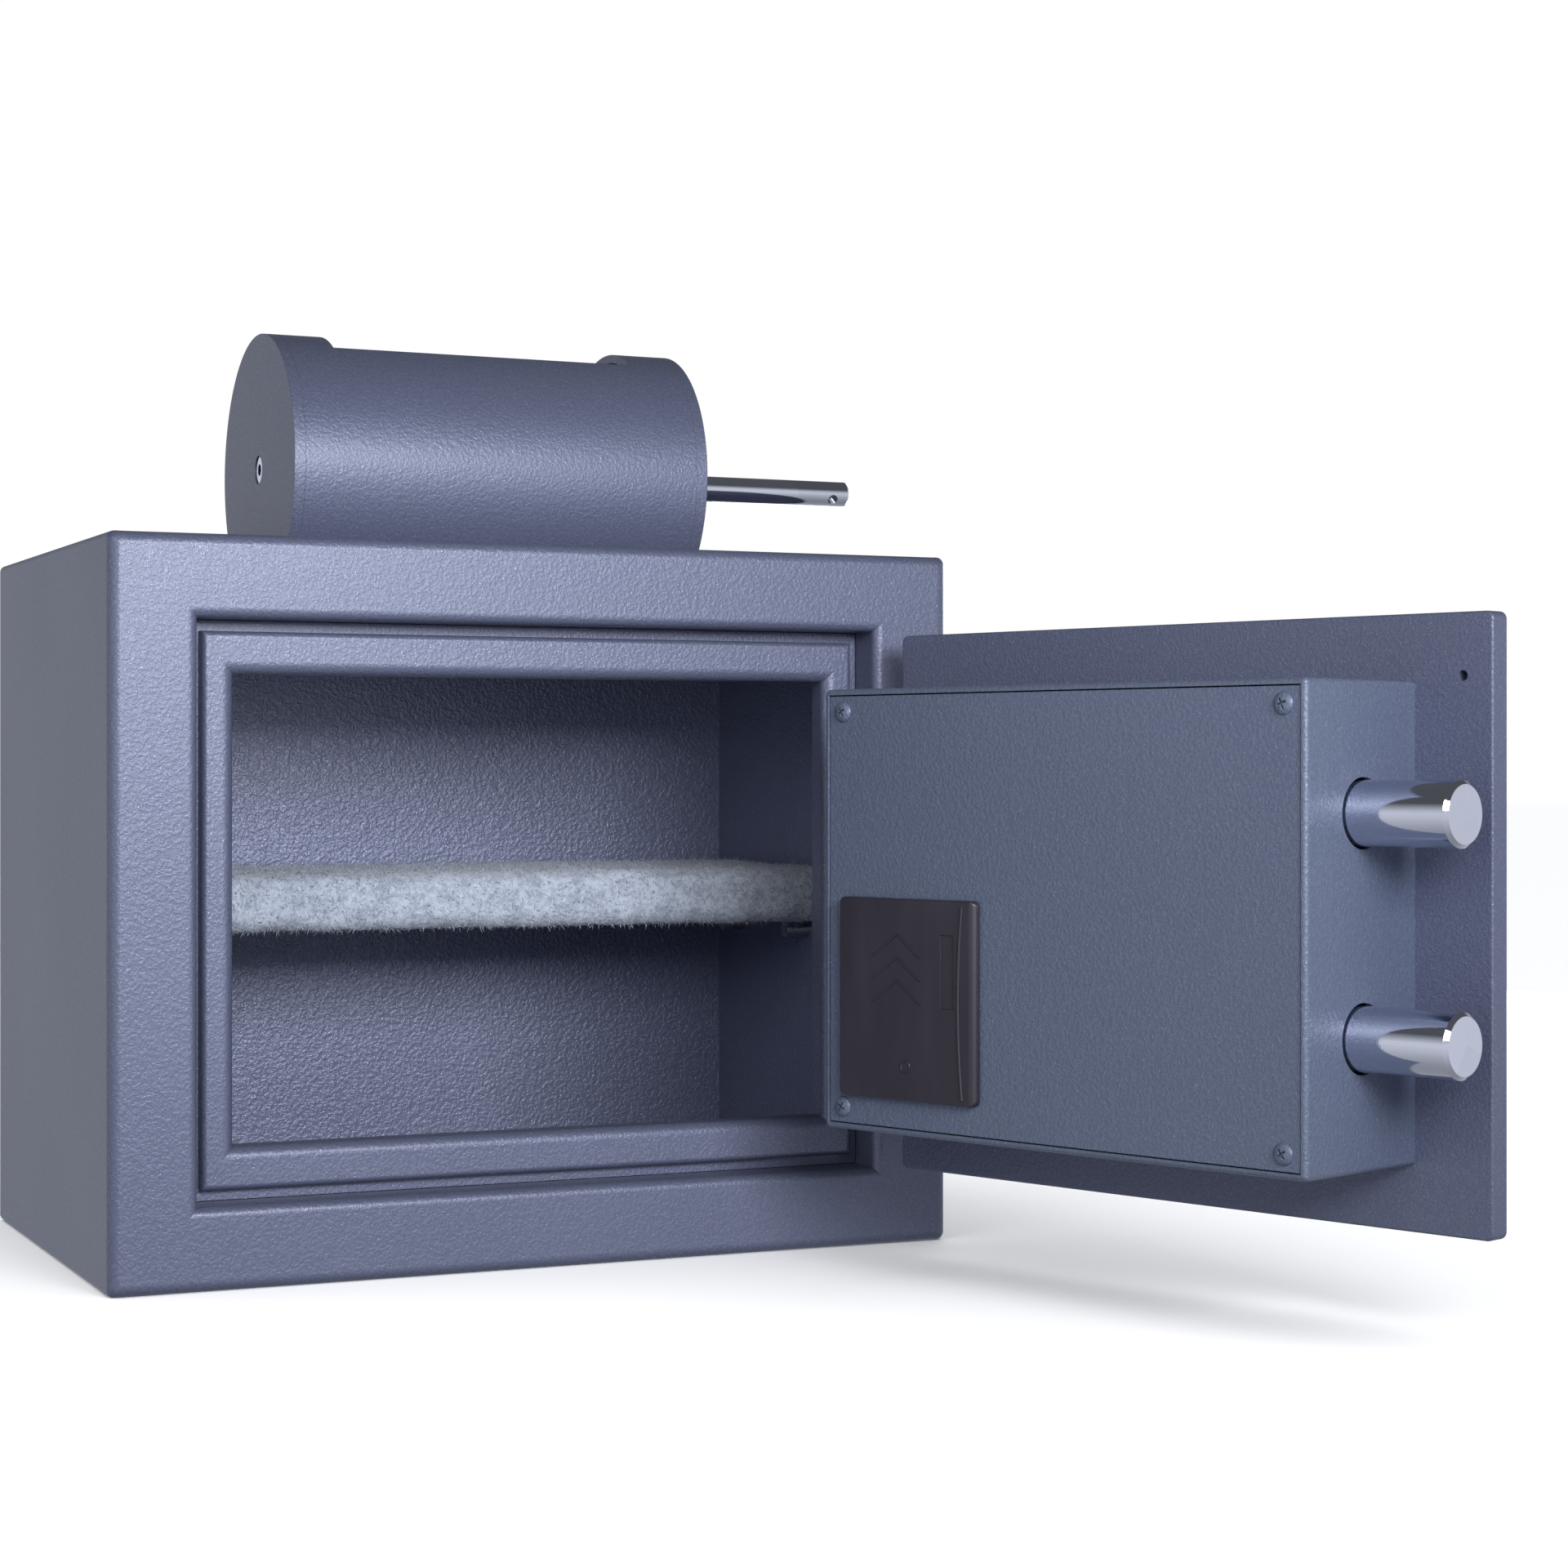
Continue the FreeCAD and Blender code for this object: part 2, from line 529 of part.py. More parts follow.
shaft_end = "(drum_length/2+shaft_reach)"
clip_at = "(drum_length/2+bush_flange+clip_stand)"
clip_end = "(%s+clip_thick+running_gap*2)" % clip_at
shaft = join("shaft", rod("shaft_bar", "X", "shaft_radius", (rotor_in + "-hub_thick", shaft_end), axis_at),
             rod("shaft_hub", "X", "hub_radius", (rotor_in + "-hub_thick", rotor_in), axis_at))
clip_past = (clip_at + "-1", clip_end + "+1")
groove_ring = cut("clip_groove",
                  rod("clip_groove_out", "X", "shaft_radius+1", (clip_at, clip_end), axis_at),
                  rod("clip_groove_in", "X", "shaft_radius-clip_groove", clip_past, axis_at))
cross = rod("cross_hole", "Z", "cross_hole_radius", ("-shaft_radius-1", "shaft_radius+1"), ("0", "0"))
cross.Placement.Rotation = Rotation(Vector(1, 0, 0), 90 + sizes["cross_hole_tilt"])
bind(cross, Height="(shaft_radius+1)*2")
place(cross, shaft_end + "-cross_hole_inset", "(shaft_radius+1)*cos(cross_hole_tilt)",
      "%s+(shaft_radius+1)*sin(cross_hole_tilt)" % drum_axis)
shaft = cut("shaft", shaft, groove_ring, cross)
tip_x = sizes["drum_length"] / 2 + sizes["shaft_reach"]
document.recompute()
shaft_tip = add("Part::Chamfer", "shaft_tip")
shaft_tip.Base = shaft
shaft_tip.Edges = [(number, sizes["shaft_chamfer"], sizes["shaft_chamfer"])
                   for number, edge in enumerate(shaft.Shape.Edges, start=1)
                   if flat_at(edge.BoundBox, "X", tip_x)]
node("drum_shaft", shaft_tip)
clip_ring = rod("clip", "X", "clip_radius", (clip_at + "+running_gap", clip_end + "-running_gap"), axis_at)
clip_bore = rod("clip_bore", "X", "shaft_radius-clip_groove+running_gap", clip_past, axis_at)
clip_mouth = box("clip_mouth", clip_past, both("clip_slot"), (drum_axis + "-clip_radius-1", drum_axis))
node("shaft_clip", cut("shaft_clip", clip_ring, clip_bore, clip_mouth))
pivot_in = "-%s+hub_thick" % rotor_in
pivot = join("pivot",
             rod("pivot_bar", "X", "shaft_radius", ("-drum_length/2+pivot_sunk", pivot_in), axis_at),
             rod("pivot_hub", "X", "hub_radius", ("-" + rotor_in, pivot_in), axis_at))
node("drum_pivot_pin", cut("drum_pivot_pin", pivot, rod(
    "pivot_socket", "X", "socket_radius", ("-drum_length/2", "-drum_length/2+socket_depth"), axis_at)))

# Each lug just touches the housing's pin at one end of the half turn.
lug_lift = "2*asin((stop_radius+running_gap)/stop_circle)"
lugs = []
for hand in ("-", ""):
    lugs.append(rod("stop_lug", "X", "stop_radius", (rotor_out, rotor_out + "+stop_reach"), (
        "%sstop_circle*cos(%s)" % (hand, lug_lift), "%s-stop_circle*sin(%s)" % (drum_axis, lug_lift))))
node("rotor_stop_lugs", group("rotor_stop_lugs", lugs))

# ---------- hinge, at the right of the frame ----------

pivot_x = "(%s+pivot_side)" % recess_x
pivot_y = "(%s-pivot_front)" % front
frame_halves = []
door_halves = []
pins = []
washers = []
for level in ("-", "+"):
    centre = "(%s%shinge_pitch/2)" % (mid, level)
    lower = ("%s-knuckle" % centre, centre)
    upper = ("%s+washer_thick" % centre, "%s+washer_thick+knuckle" % centre)
    at = (pivot_x, pivot_y)
    leaf = box("frame_leaf", (pivot_x, pivot_x + "+leaf_width"), ("%s-leaf_thick" % front, front), lower)
    barrel = rod("frame_barrel", "Z", "barrel_radius", lower, at)
    frame_halves.append(cut("frame_half", join("frame_half", leaf, barrel),
                            rod("frame_bore", "Z", "pin_radius+press_gap",
                                (lower[0] + "+pin_floor", lower[1] + "+1"), at)))
    strap = box("door_strap", (pivot_x + "-strap_width-pivot_side", pivot_x),
                ("%s-door_proud-leaf_thick" % front, "%s-door_proud" % front), upper)
    barrel = rod("door_barrel", "Z", "barrel_radius", upper, at)
    door_halves.append(cut("door_half", join("door_half", strap, barrel),
                           rod("door_bore", "Z", "pin_radius+running_gap",
                               (upper[0] + "-1", upper[1] + "-pin_floor"), at)))
    pins.append(rod("hinge_pin", "Z", "pin_radius",
                    (lower[0] + "+pin_floor", upper[1] + "-pin_floor-pin_headroom"), at))
    washer = rod("washer", "Z", "barrel_radius-washer_step",
                 (centre + "+washer_play", centre + "+washer_thick-washer_play"), at)
    washers.append(cut("hinge_washer", washer, rod(
        "washer_bore", "Z", "pin_radius+running_gap", (centre + "-1", centre + "+washer_thick+1"), at)))
node("hinge_frame_halves", group("hinge_frame_halves", frame_halves))
node("hinge_pins", group("hinge_pins", pins))
node("hinge_washers", group("hinge_washers", washers))

hinge_line = Vector(recess_edge_x + sizes["pivot_side"], front_y - sizes["pivot_front"], 0)
opened = Placement(Vector(), Rotation(Vector(0, 0, 1), sizes["open_angle"]), hinge_line)


def door_node(name, item):
    """A sub-part of the door group; a bare block or rod is wrapped so that it can be turned."""
    if item.isDerivedFrom("Part::Box") or item.isDerivedFrom("Part::Cylinder"):
        item = group(name, [item])
    return node(name, item, Placement(opened))


door_node("hinge_door_halves", group("hinge_door_halves", door_halves))

# ---------- door, drawn closed ----------
# along(...) measures from the door's hinge edge towards its free edge, inward(...) from its inner face

door_wide = "(%s+%s-door_gap*2)" % (recess_x, recess_x)
door_high = "(body_height-frame_top*2-door_gap*2)"


def along(near_end, far_end):
    return ("%s-(%s)" % (door_edge_x, far_end), "%s-(%s)" % (door_edge_x, near_end))


def at_along(distance):
    return "(%s-(%s))" % (door_edge_x, distance)


def inward(near_end, far_end):
    return ("%s+(%s)" % (door_inner, near_end), "%s+(%s)" % (door_inner, far_end))


def level(low, high):
    """Heights counted from the middle of the door."""
    return ("%s+(%s)" % (mid, low), "%s+(%s)" % (mid, high))


# XZ sketches face -Y: across is X, up is Z and their offset counts towards -Y
plate_body = new_body("door_plate")
pad(plate_body, sketch_rectangle(plate_body, "XZ_Plane", door_wide, door_high,
                                 ("0", mid, "-" + door_inner)), "door_thick")
dress(plate_body, "Fillet", "door_corner", lambda b: b.YLength > sizes["door_thick"] - 1)
dress(plate_body, "Fillet", "door_edge", lambda b: b.YLength < 0.01)
cable_hole = (at_along("keypad_from_hinge-cable_hole_along"), mid + "+keypad_rise+cable_hole_rise")
for radius, (across, up) in (("bush_outer+press_gap", (at_along("knob_from_hinge"), mid)),
                             ("cable_hole_radius", cable_hole)):
    pocket(plate_body, sketch_circle(plate_body, "XZ_Plane", radius, (across, up, "-" + door_inner)),
           "door_thick+1", along_normal=True)
peep = sketch_circle(plate_body, "XZ_Plane", "peep_radius", (
    "-%s+peep_side" % door_edge_x, "%s+%s/2-peep_top" % (mid, door_high), "-" + door_inner))
pocket(plate_body, peep, "peep_depth", along_normal=True)
door_node("door_plate", plate_body)

casing_far = "(%s-casing_free_margin)" % door_wide
casing_low = "-casing_height/2"
casing_high = "casing_height/2"
casing_shell = box("casing", along("casing_hinge_margin", casing_far), inward("0", "casing_depth"),
                   level(casing_low, casing_high))
casing_space = box("casing_space", along("casing_hinge_margin+casing_wall", casing_far + "-casing_wall"),
                   inward("-1", "casing_depth+1"),
                   level(casing_low + "+casing_wall", casing_high + "-casing_wall"))
bolt_lines = [(inward("0", "bolt_offset")[1], "%s%sbolt_pitch/2" % (mid, tier)) for tier in "-+"]
bolt_tools = []
for line in bolt_lines:
    bolt_tools.append(rod("bolt_window", "X", "bolt_radius+bolt_hole_gap",
                          along(casing_far + "-casing_wall-1", casing_far + "+1"), line))
casing_solid = cut("casing_walls", casing_shell, casing_space, *bolt_tools)
casing_back_y = front_y - sizes["door_proud"] + sizes["door_thick"] + sizes["casing_depth"]
casing_left_x = -(recess_edge_x - sizes["door_gap"]) + sizes["casing_free_margin"]
casing_right_x = recess_edge_x - sizes["door_gap"] - sizes["casing_hinge_margin"]


def casing_outside(b):
    """The outer edges of the casing: its four long corners and the outline of its open end."""
    at_side = (near(b.XMin, casing_left_x) and near(b.XMax, casing_left_x)) or \
        (near(b.XMin, casing_right_x) and near(b.XMax, casing_right_x))
    top = sizes["body_height"] / 2 + sizes["casing_height"] / 2
    bottom = sizes["body_height"] / 2 - sizes["casing_height"] / 2
    at_level = flat_at(b, "Z", top) or flat_at(b, "Z", bottom)
    at_end = flat_at(b, "Y", casing_back_y)
    return (at_side and at_level) or (at_end and (at_side or at_level))


door_node("casing_walls", round_edges("casing_walls", casing_solid, [
    (sizes["casing_round"], casing_outside)]))

cover_in = "(casing_depth-cover_inset-cover_thick)"
cover_out = "(casing_depth-cover_inset)"
cover_near = "(casing_hinge_margin+casing_wall+cover_seam)"
cover_far = "(%s-casing_wall-cover_seam)" % casing_far
cover_mid = "((%s+%s)/2)" % (cover_near, cover_far)
screw_along = ("(casing_hinge_margin+screw_inset)", "(%s-screw_inset)" % casing_far)
screw_up = "(casing_height/2-screw_inset+1)"
battery_near = "(casing_hinge_margin+battery_margin)"
battery_far = "(casing_hinge_margin+battery_margin+battery_wide)"
battery_bottom = "(-casing_height/2+battery_low)"
battery_top = "(-casing_height/2+battery_low+battery_high)"
tray_near = "(%s+tray_margin)" % battery_near
tray_far = "(%s-tray_margin)" % battery_far
tray_bottom = "(%s+tray_margin)" % battery_bottom
tray_top = "(%s-tray_margin)" % battery_top

cover_body = new_body("casing_cover")
cover_plane = "-(%s+%s)" % (door_inner, cover_out)
pad(cover_body, sketch_rectangle(cover_body, "XZ_Plane", "%s-%s" % (cover_far, cover_near),
                                 "casing_height-(casing_wall+cover_seam)*2",
                                 (at_along(cover_mid), mid, cover_plane)), "cover_thick")
pocket(cover_body, sketch_rectangle(cover_body, "XZ_Plane", "%s-%s-tray_gap*2" % (tray_far, tray_near),
                                    "%s-%s-tray_gap*2" % (tray_top, tray_bottom),
                                    (at_along("(%s+%s)/2" % (tray_near, tray_far)),
                                     "%s+(%s+%s)/2" % (mid, tray_bottom, tray_top), cover_plane)),
       "cover_thick+1", along_normal=True)
posts = []
screws = []
for distance in screw_along:
    for sign in ("-", "+"):
        up = "%s%s%s" % (mid, sign, screw_up)
        pocket(cover_body, sketch_circle(cover_body, "XZ_Plane", "screw_radius+screw_hole_gap",
                                         (at_along(distance), up, cover_plane)),
               "cover_thick+1", along_normal=True)
        post = rod("cover_post", "Y", "post_radius", inward("0", cover_in), (at_along(distance), up))
        tap = rod("post_tap", "Y", "screw_radius+press_gap",
                  inward(cover_in + "-tap_depth", cover_in + "+1"), (at_along(distance), up))
        posts.append(cut("cover_post", post, tap))
        stem = rod("cover_screw_stem", "Y", "screw_radius",
                   inward(cover_in + "-screw_depth", cover_out + "+screw_stem_lap"),
                   (at_along(distance), up))
        head = rod("cover_screw_head", "Y", "screw_head_radius",
                   inward(cover_out, cover_out + "+screw_head_height"), (at_along(distance), up))
        drive = []
        for wide, high in (("drive_reach", "drive_half"), ("drive_half", "drive_reach")):
            drive.append(box("drive_slot", along(distance + "-" + wide, distance + "+" + wide),
                             inward(cover_out + "+drive_floor", cover_out + "+screw_head_height+1"),
                             (up + "-" + high, up + "+" + high)))
        screws.append(cut("cover_screw", join("cover_screw", stem, head), *drive))
door_node("casing_cover", cover_body)
door_node("cover_posts", group("cover_posts", posts))
door_node("cover_screws", group("cover_screws", screws))

# Two guide plates carry the bolts inside the casing.
guide_high = "(bolt_pitch/2+bolt_radius+guide_margin)"
outer_guide_far = "(%s-casing_wall-outer_guide_back)" % casing_far
bar_far = "(knob_from_hinge+bolt_travel/2+bar_width/2)"
for name, start in (("bolt_guide_outer", outer_guide_far + "-guide_thick"),
                    ("bolt_guide_inner", bar_far + "+inner_guide_gap")):
    plate = box(name, along(start, start + "+guide_thick"), inward("0", "guide_reach"),
                level("-" + guide_high, guide_high))
    holes = []
    for line in bolt_lines:
        holes.append(rod(name + "_hole", "X", "bolt_radius+running_gap",
                         along(start + "-1", start + "+guide_thick+1"), line))
    door_node(name, cut(name, plate, *holes))

# ---------- bolts ----------

bolt_far = "(%s+bolt_projection)" % casing_far
for name, line in zip(("bolt_lower", "bolt_upper"), bolt_lines):
    body = new_body(name)
    # YZ sketches face +X: across is Y, up is Z
    disc = sketch_circle(body, "YZ_Plane", "bolt_radius", (line[0], line[1], at_along(bolt_far)))
    pad(body, disc, "%s-%s" % (bolt_far, bar_far))
    dress(body, "Chamfer", "bolt_chamfer", lambda b: b.XLength < 0.01 and b.XMin < 0)
    door_node(name, body)

bar_mid = "(knob_from_hinge+bolt_travel/2)"
bar_in = "(bolt_offset-bar_thick/2)"
bar_out = "(bolt_offset+bar_thick/2)"
cam_reach = "(bolt_travel/sqrt(2))"
bar = box("bar", along(bar_mid + "-bar_width/2", bar_far), inward(bar_in, bar_out),
          level("-(bolt_pitch/2+bar_overhang)", "bolt_pitch/2+bar_overhang"))
tail = box("bar_tail", along(bar_mid + "-bar_width/2-tail_length", bar_mid), inward(bar_in, bar_out),
           level("-tail_drop", "-tail_drop+tail_height"))
cam_slot = box("cam_slot", along(bar_mid + "-cam_pin_radius-cam_slot_gap",
               bar_mid + "+cam_pin_radius+cam_slot_gap"), inward(bar_in + "-1", bar_out + "+1"),
               level("bolt_travel/2-cam_pin_radius-cam_slot_ends",
                     cam_reach + "+cam_pin_radius+cam_slot_ends"))
notches = []
for shift in ("0", "bolt_travel"):
    middle = "lock_pin_from_hinge+" + shift
    notches.append(box("notch", along(middle + "-lock_pin_radius-notch_gap",
                       middle + "+lock_pin_radius+notch_gap"), inward(bar_in + "-1", bar_out + "+1"),
                       level("-tail_drop-1", "-tail_drop+notch_depth")))
bar_taps = []
bar_screws = []
bar_near = bar_mid + "-bar_width/2"
for line in bolt_lines:
    bar_taps.append(rod("bar_tap", "X", "screw_radius+press_gap", along(bar_near + "-1", bar_far + "+1"),
                        line))
    stem = rod("bar_screw", "X", "screw_radius", along(bar_near, bar_far), line)
    head = rod("bar_screw_head", "X", "bar_screw_head", along(bar_near + "-bar_screw_head_thick", bar_near),
               line)
    bar_screws.append(join("bar_screw", stem, head))
door_node("bolt_bar", cut("bolt_bar", join("bolt_bar", bar, tail), cam_slot, *(notches + bar_taps)))
door_node("bolt_bar_screws", group("bolt_bar_screws", bar_screws))

# ---------- knob, spindle and cam ----------

knob_x = at_along("knob_from_hinge")
at = (knob_x, mid)
collar_front = "(%s-knob_collar_thick)" % door_outer
knob_back = "(%s-knob_gap)" % collar_front
bush = rod("spindle_bush", "Y", "bush_outer", (door_outer, door_inner), at)
door_node("spindle_bush", cut("spindle_bush", bush, rod(
    "spindle_bush_bore", "Y", "spindle_radius+running_gap", (door_outer + "-1", door_inner + "+1"), at)))
collar = rod("collar", "Y", "knob_collar_radius", (collar_front, door_outer), at)
door_node("knob_collar", cut("knob_collar", collar, rod(
    "collar_bore", "Y", "spindle_radius+collar_gap", (collar_front + "-1", door_outer + "+1"), at)))
knob_body = new_body("turn_knob")
knob_plane = "-" + knob_back
pad(knob_body, sketch_circle(knob_body, "XZ_Plane", "knob_radius", (knob_x, mid, knob_plane)),
    "knob_depth")
knob_front_y = (front_y - sizes["door_proud"] - sizes["knob_collar_thick"] - sizes["knob_gap"]
                - sizes["knob_depth"])
dress(knob_body, "Fillet", "knob_round", lambda b: flat_at(b, "Y", knob_front_y))
for step in range(sizes["grip_count"]):
    turn = 2 * math.pi * (step + 0.5) / sizes["grip_count"]
    pocket(knob_body, sketch_circle(knob_body, "XZ_Plane", "grip_radius", (
        "%s+(knob_radius+grip_shift)*(%.6f)" % (knob_x, math.cos(turn)),
        "%s+(knob_radius+grip_shift)*(%.6f)" % (mid, math.sin(turn)), knob_plane + "+grip_start")),
        "knob_depth", along_normal=True)
pocket(knob_body, sketch_circle(knob_body, "XZ_Plane", "spindle_radius+press_gap",
                                (knob_x, mid, knob_plane)), "knob_depth/2", along_normal=True)
door_node("turn_knob", knob_body)
door_node("knob_spindle", rod("knob_spindle", "Y", "spindle_radius", (
    knob_back + "-knob_depth/2+spindle_end_gap", inward("0", "cam_offset+cam_thick")[1]), at))
pin_shift = "bolt_travel/2"
pin_at = (at_along("knob_from_hinge+" + pin_shift), "%s+%s" % (mid, pin_shift))
cam_span = inward("cam_offset", "cam_offset+cam_thick")
arm = box("cam_arm", ("0", cam_reach), ("0", "cam_thick"), ("0", "cam_pin_radius*4"))
arm.Placement.Rotation = Rotation(Vector(0, 1, 0), 225)
place(arm, knob_x + "+cam_pin_radius*2*cos(45)", cam_span[0], mid + "+cam_pin_radius*2*sin(45)")
cam = join("cam", arm, rod("cam_hub", "Y", "hub_ring", cam_span, at),
           rod("cam_eye", "Y", "cam_pin_radius*2", cam_span, pin_at))
cam_past = inward("0", "cam_offset+cam_thick+1")
door_node("cam_plate", cut("cam_plate", cam,
                           rod("cam_bore", "Y", "spindle_radius+press_gap", cam_past, at),
                           rod("cam_pin_seat", "Y", "cam_pin_radius+press_gap", cam_past, pin_at)))
door_node("cam_pin", rod("cam_pin", "Y", "cam_pin_radius", inward("cam_offset", bar_out + "-cam_pin_sunk"),
                         pin_at))

# ---------- motor lock ----------

lock_at = (at_along("lock_pin_from_hinge"), inward("0", "bolt_offset")[1])
motor_top = "(-tail_drop-lock_pin_travel-motor_gap)"
pin_top = "(-tail_drop-lock_pin_gap)"
motor = box("motor", along("lock_pin_from_hinge-motor_width/2", "lock_pin_from_hinge+motor_width/2"),
            inward("0", "bolt_offset+motor_front/2"), level(motor_top + "-motor_height", motor_top))
motor_bore = rod("motor_bore", "Z", "lock_pin_radius+running_gap",
                 level(pin_top + "-lock_pin_length-1", motor_top + "+1"), lock_at)
door_node("lock_motor", cut("lock_motor", motor, motor_bore))
door_node("lock_pin", rod("lock_pin", "Z", "lock_pin_radius", level(pin_top + "-lock_pin_length", pin_top),
                          lock_at))

# ---------- battery unit ----------

tray_out = cover_in
tray_in = "(%s-tray_depth)" % cover_in
tray = box("tray", along(tray_near, tray_far), inward(tray_in, tray_out), level(tray_bottom, tray_top))
tray_space = box("tray_space", along(tray_near + "+tray_wall", tray_far + "-tray_wall"),
                 inward(tray_in + "+tray_wall", tray_out + "+1"),
                 level(tray_bottom + "+tray_wall", tray_top + "-tray_wall"))
door_node("battery_tray", cut("battery_tray", tray, tray_space))
cell_mid_along = "((%s+%s)/2)" % (tray_near, tray_far)
cell_mid_up = "((%s+%s)/2)" % (tray_bottom, tray_top)
cell_in = tray_in + "+tray_wall+cell_lift+cell_radius"
cells = []
contacts = []
for place_number in range(4):
    shift = "(%s-1.5)*cell_pitch" % place_number
    spot = (at_along(cell_mid_along + "+" + shift), inward("0", cell_in)[1])
    cells.append(rod("cell", "Z", "cell_radius", level(cell_mid_up + "-cell_length/2",
                                                      cell_mid_up + "+cell_length/2"), spot))
    ends = ((tray_bottom + "+tray_wall", cell_mid_up + "-cell_length/2", "spring_radius"),
            (cell_mid_up + "+cell_length/2", tray_top + "-tray_wall", "button_radius"))
    for low, high, radius in ends:
        contacts.append(rod("contact", "Z", radius, level(low + "+contact_gap", high + "-contact_gap"),
                            spot))
door_node("batteries", group("batteries", cells))
door_node("battery_contacts", group("battery_contacts", contacts))

cap_in = "(%s+battery_cover_gap)" % cover_out
cap_out = "(%s+battery_cover_thick)" % cap_in
cap = box("cap", along(battery_near, battery_far), inward(cap_in, cap_out),
          level(battery_bottom, battery_top))
cap_outer_y = (front_y - sizes["door_proud"] + sizes["door_thick"] + sizes["casing_depth"]
               - sizes["cover_inset"] + sizes["battery_cover_gap"] + sizes["battery_cover_thick"])
cap_far_x = (recess_edge_x - sizes["door_gap"] - sizes["casing_hinge_margin"] - sizes["battery_margin"]
             - sizes["battery_wide"])
cap = round_edges("cap", cap, [
    (sizes["battery_bow"], lambda b: flat_at(b, "Y", cap_outer_y) and flat_at(b, "X", cap_far_x)),
    (sizes["battery_edge"], lambda b: flat_at(b, "Y", cap_outer_y)),
    (sizes["battery_corner"], lambda b: b.YLength > sizes["battery_cover_thick"] / 2)])
finger_far = battery_far + "-battery_ledge-1"
finger = box("finger_recess", along(finger_far + "-finger_width", finger_far),
             inward(cap_out + "-finger_depth", cap_out + "+1"),
             level(battery_top + "-finger_low", battery_top + "-finger_high"))
tongue = box("cap_tongue",
             along(tray_near + "+tray_wall+tongue_gap", tray_far + "-tray_wall-tongue_gap"),
             inward(cover_in + "-tongue_reach", cap_in + "+battery_cover_thick/2"),
             level(tray_bottom + "+tray_wall+tongue_gap", tray_top + "-tray_wall-battery_slide-tongue_gap"))
door_node("battery_cover", cut("battery_cover", join("battery_cover", cap, tongue), finger))

# ---------- keypad and its board ----------

pad_near = "(keypad_from_hinge-keypad_wide/2)"
pad_far = "(keypad_from_hinge+keypad_wide/2)"
pad_low = "(keypad_rise-keypad_high/2)"
pad_high = "(keypad_rise+keypad_high/2)"
pad_front = "(%s-keypad_thick)" % door_outer
keypad_body = new_body("keypad_housing")
pad(keypad_body, sketch_rectangle(keypad_body, "XZ_Plane", "keypad_wide", "keypad_high", (
    at_along("keypad_from_hinge"), mid + "+keypad_rise", "-" + door_outer)), "keypad_thick")
keypad_front_y = front_y - sizes["door_proud"] - sizes["keypad_thick"]
dress(keypad_body, "Fillet", "keypad_round", lambda b: b.YLength > sizes["keypad_thick"] - 1)
dress(keypad_body, "Fillet", "keypad_edge", lambda b: flat_at(b, "Y", keypad_front_y))
pocket(keypad_body, sketch_rectangle(keypad_body, "XZ_Plane", "keypad_wide-membrane_inset*2",
       "keypad_high-membrane_inset*2", (at_along("keypad_from_hinge"), mid + "+keypad_rise",
                                        "-(%s+membrane_thick)" % pad_front)),
       "membrane_thick+1", along_normal=True)
door_node("keypad_housing", keypad_body)
membrane_edge = "+membrane_inset+membrane_side_gap"
door_node("keypad_membrane", box(
    "keypad_membrane", along(pad_near + membrane_edge, "%s-(%s)" % (pad_far, membrane_edge[1:])),
    (pad_front, pad_front + "+membrane_thick-membrane_sunk"),
    level(pad_low + membrane_edge, "%s-(%s)" % (pad_high, membrane_edge[1:]))))

board_near = "(keypad_from_hinge-board_wide/2-board_along)"
board_up = "(keypad_rise+board_rise)"
board_x = (board_near, board_near + "+board_wide")
board_z = (board_up + "-board_high/2", board_up + "+board_high/2")
door_node("circuit_board", box("circuit_board", along(*board_x), inward("board_lift",
          "board_lift+board_thick"), level(*board_z)))
standoffs = []
for distance in (board_x[0] + "+standoff_inset", board_x[1] + "-standoff_inset"):
    for up in (board_z[0] + "+standoff_inset", board_z[1] + "-standoff_inset"):
        standoffs.append(rod("standoff", "Y", "standoff_radius", inward("0", "board_lift"),
                             (at_along(distance), "%s+%s" % (mid, up))))
door_node("board_standoffs", group("board_standoffs", standoffs))

# ---------- checks and files ----------

document.recompute()
for item in document.Objects:
    if "Invalid" in item.State or "Error" in item.State:
        raise ValueError("%s failed: %s" % (item.Name, item.State))
os.makedirs("parts", exist_ok=True)
for item in nodes:
    shape = item.Shape
    if shape.isNull() or not shape.isValid() or not shape.Solids:
        raise ValueError("%s has no valid solid" % item.Label)
for item in nodes:
    item.Shape.exportStep("parts/%s.step" % item.Label)
print("%d sub-parts written" % len(nodes))
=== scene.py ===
import json
import math

import bmesh
import bpy
from mathutils import Matrix, Vector, noise


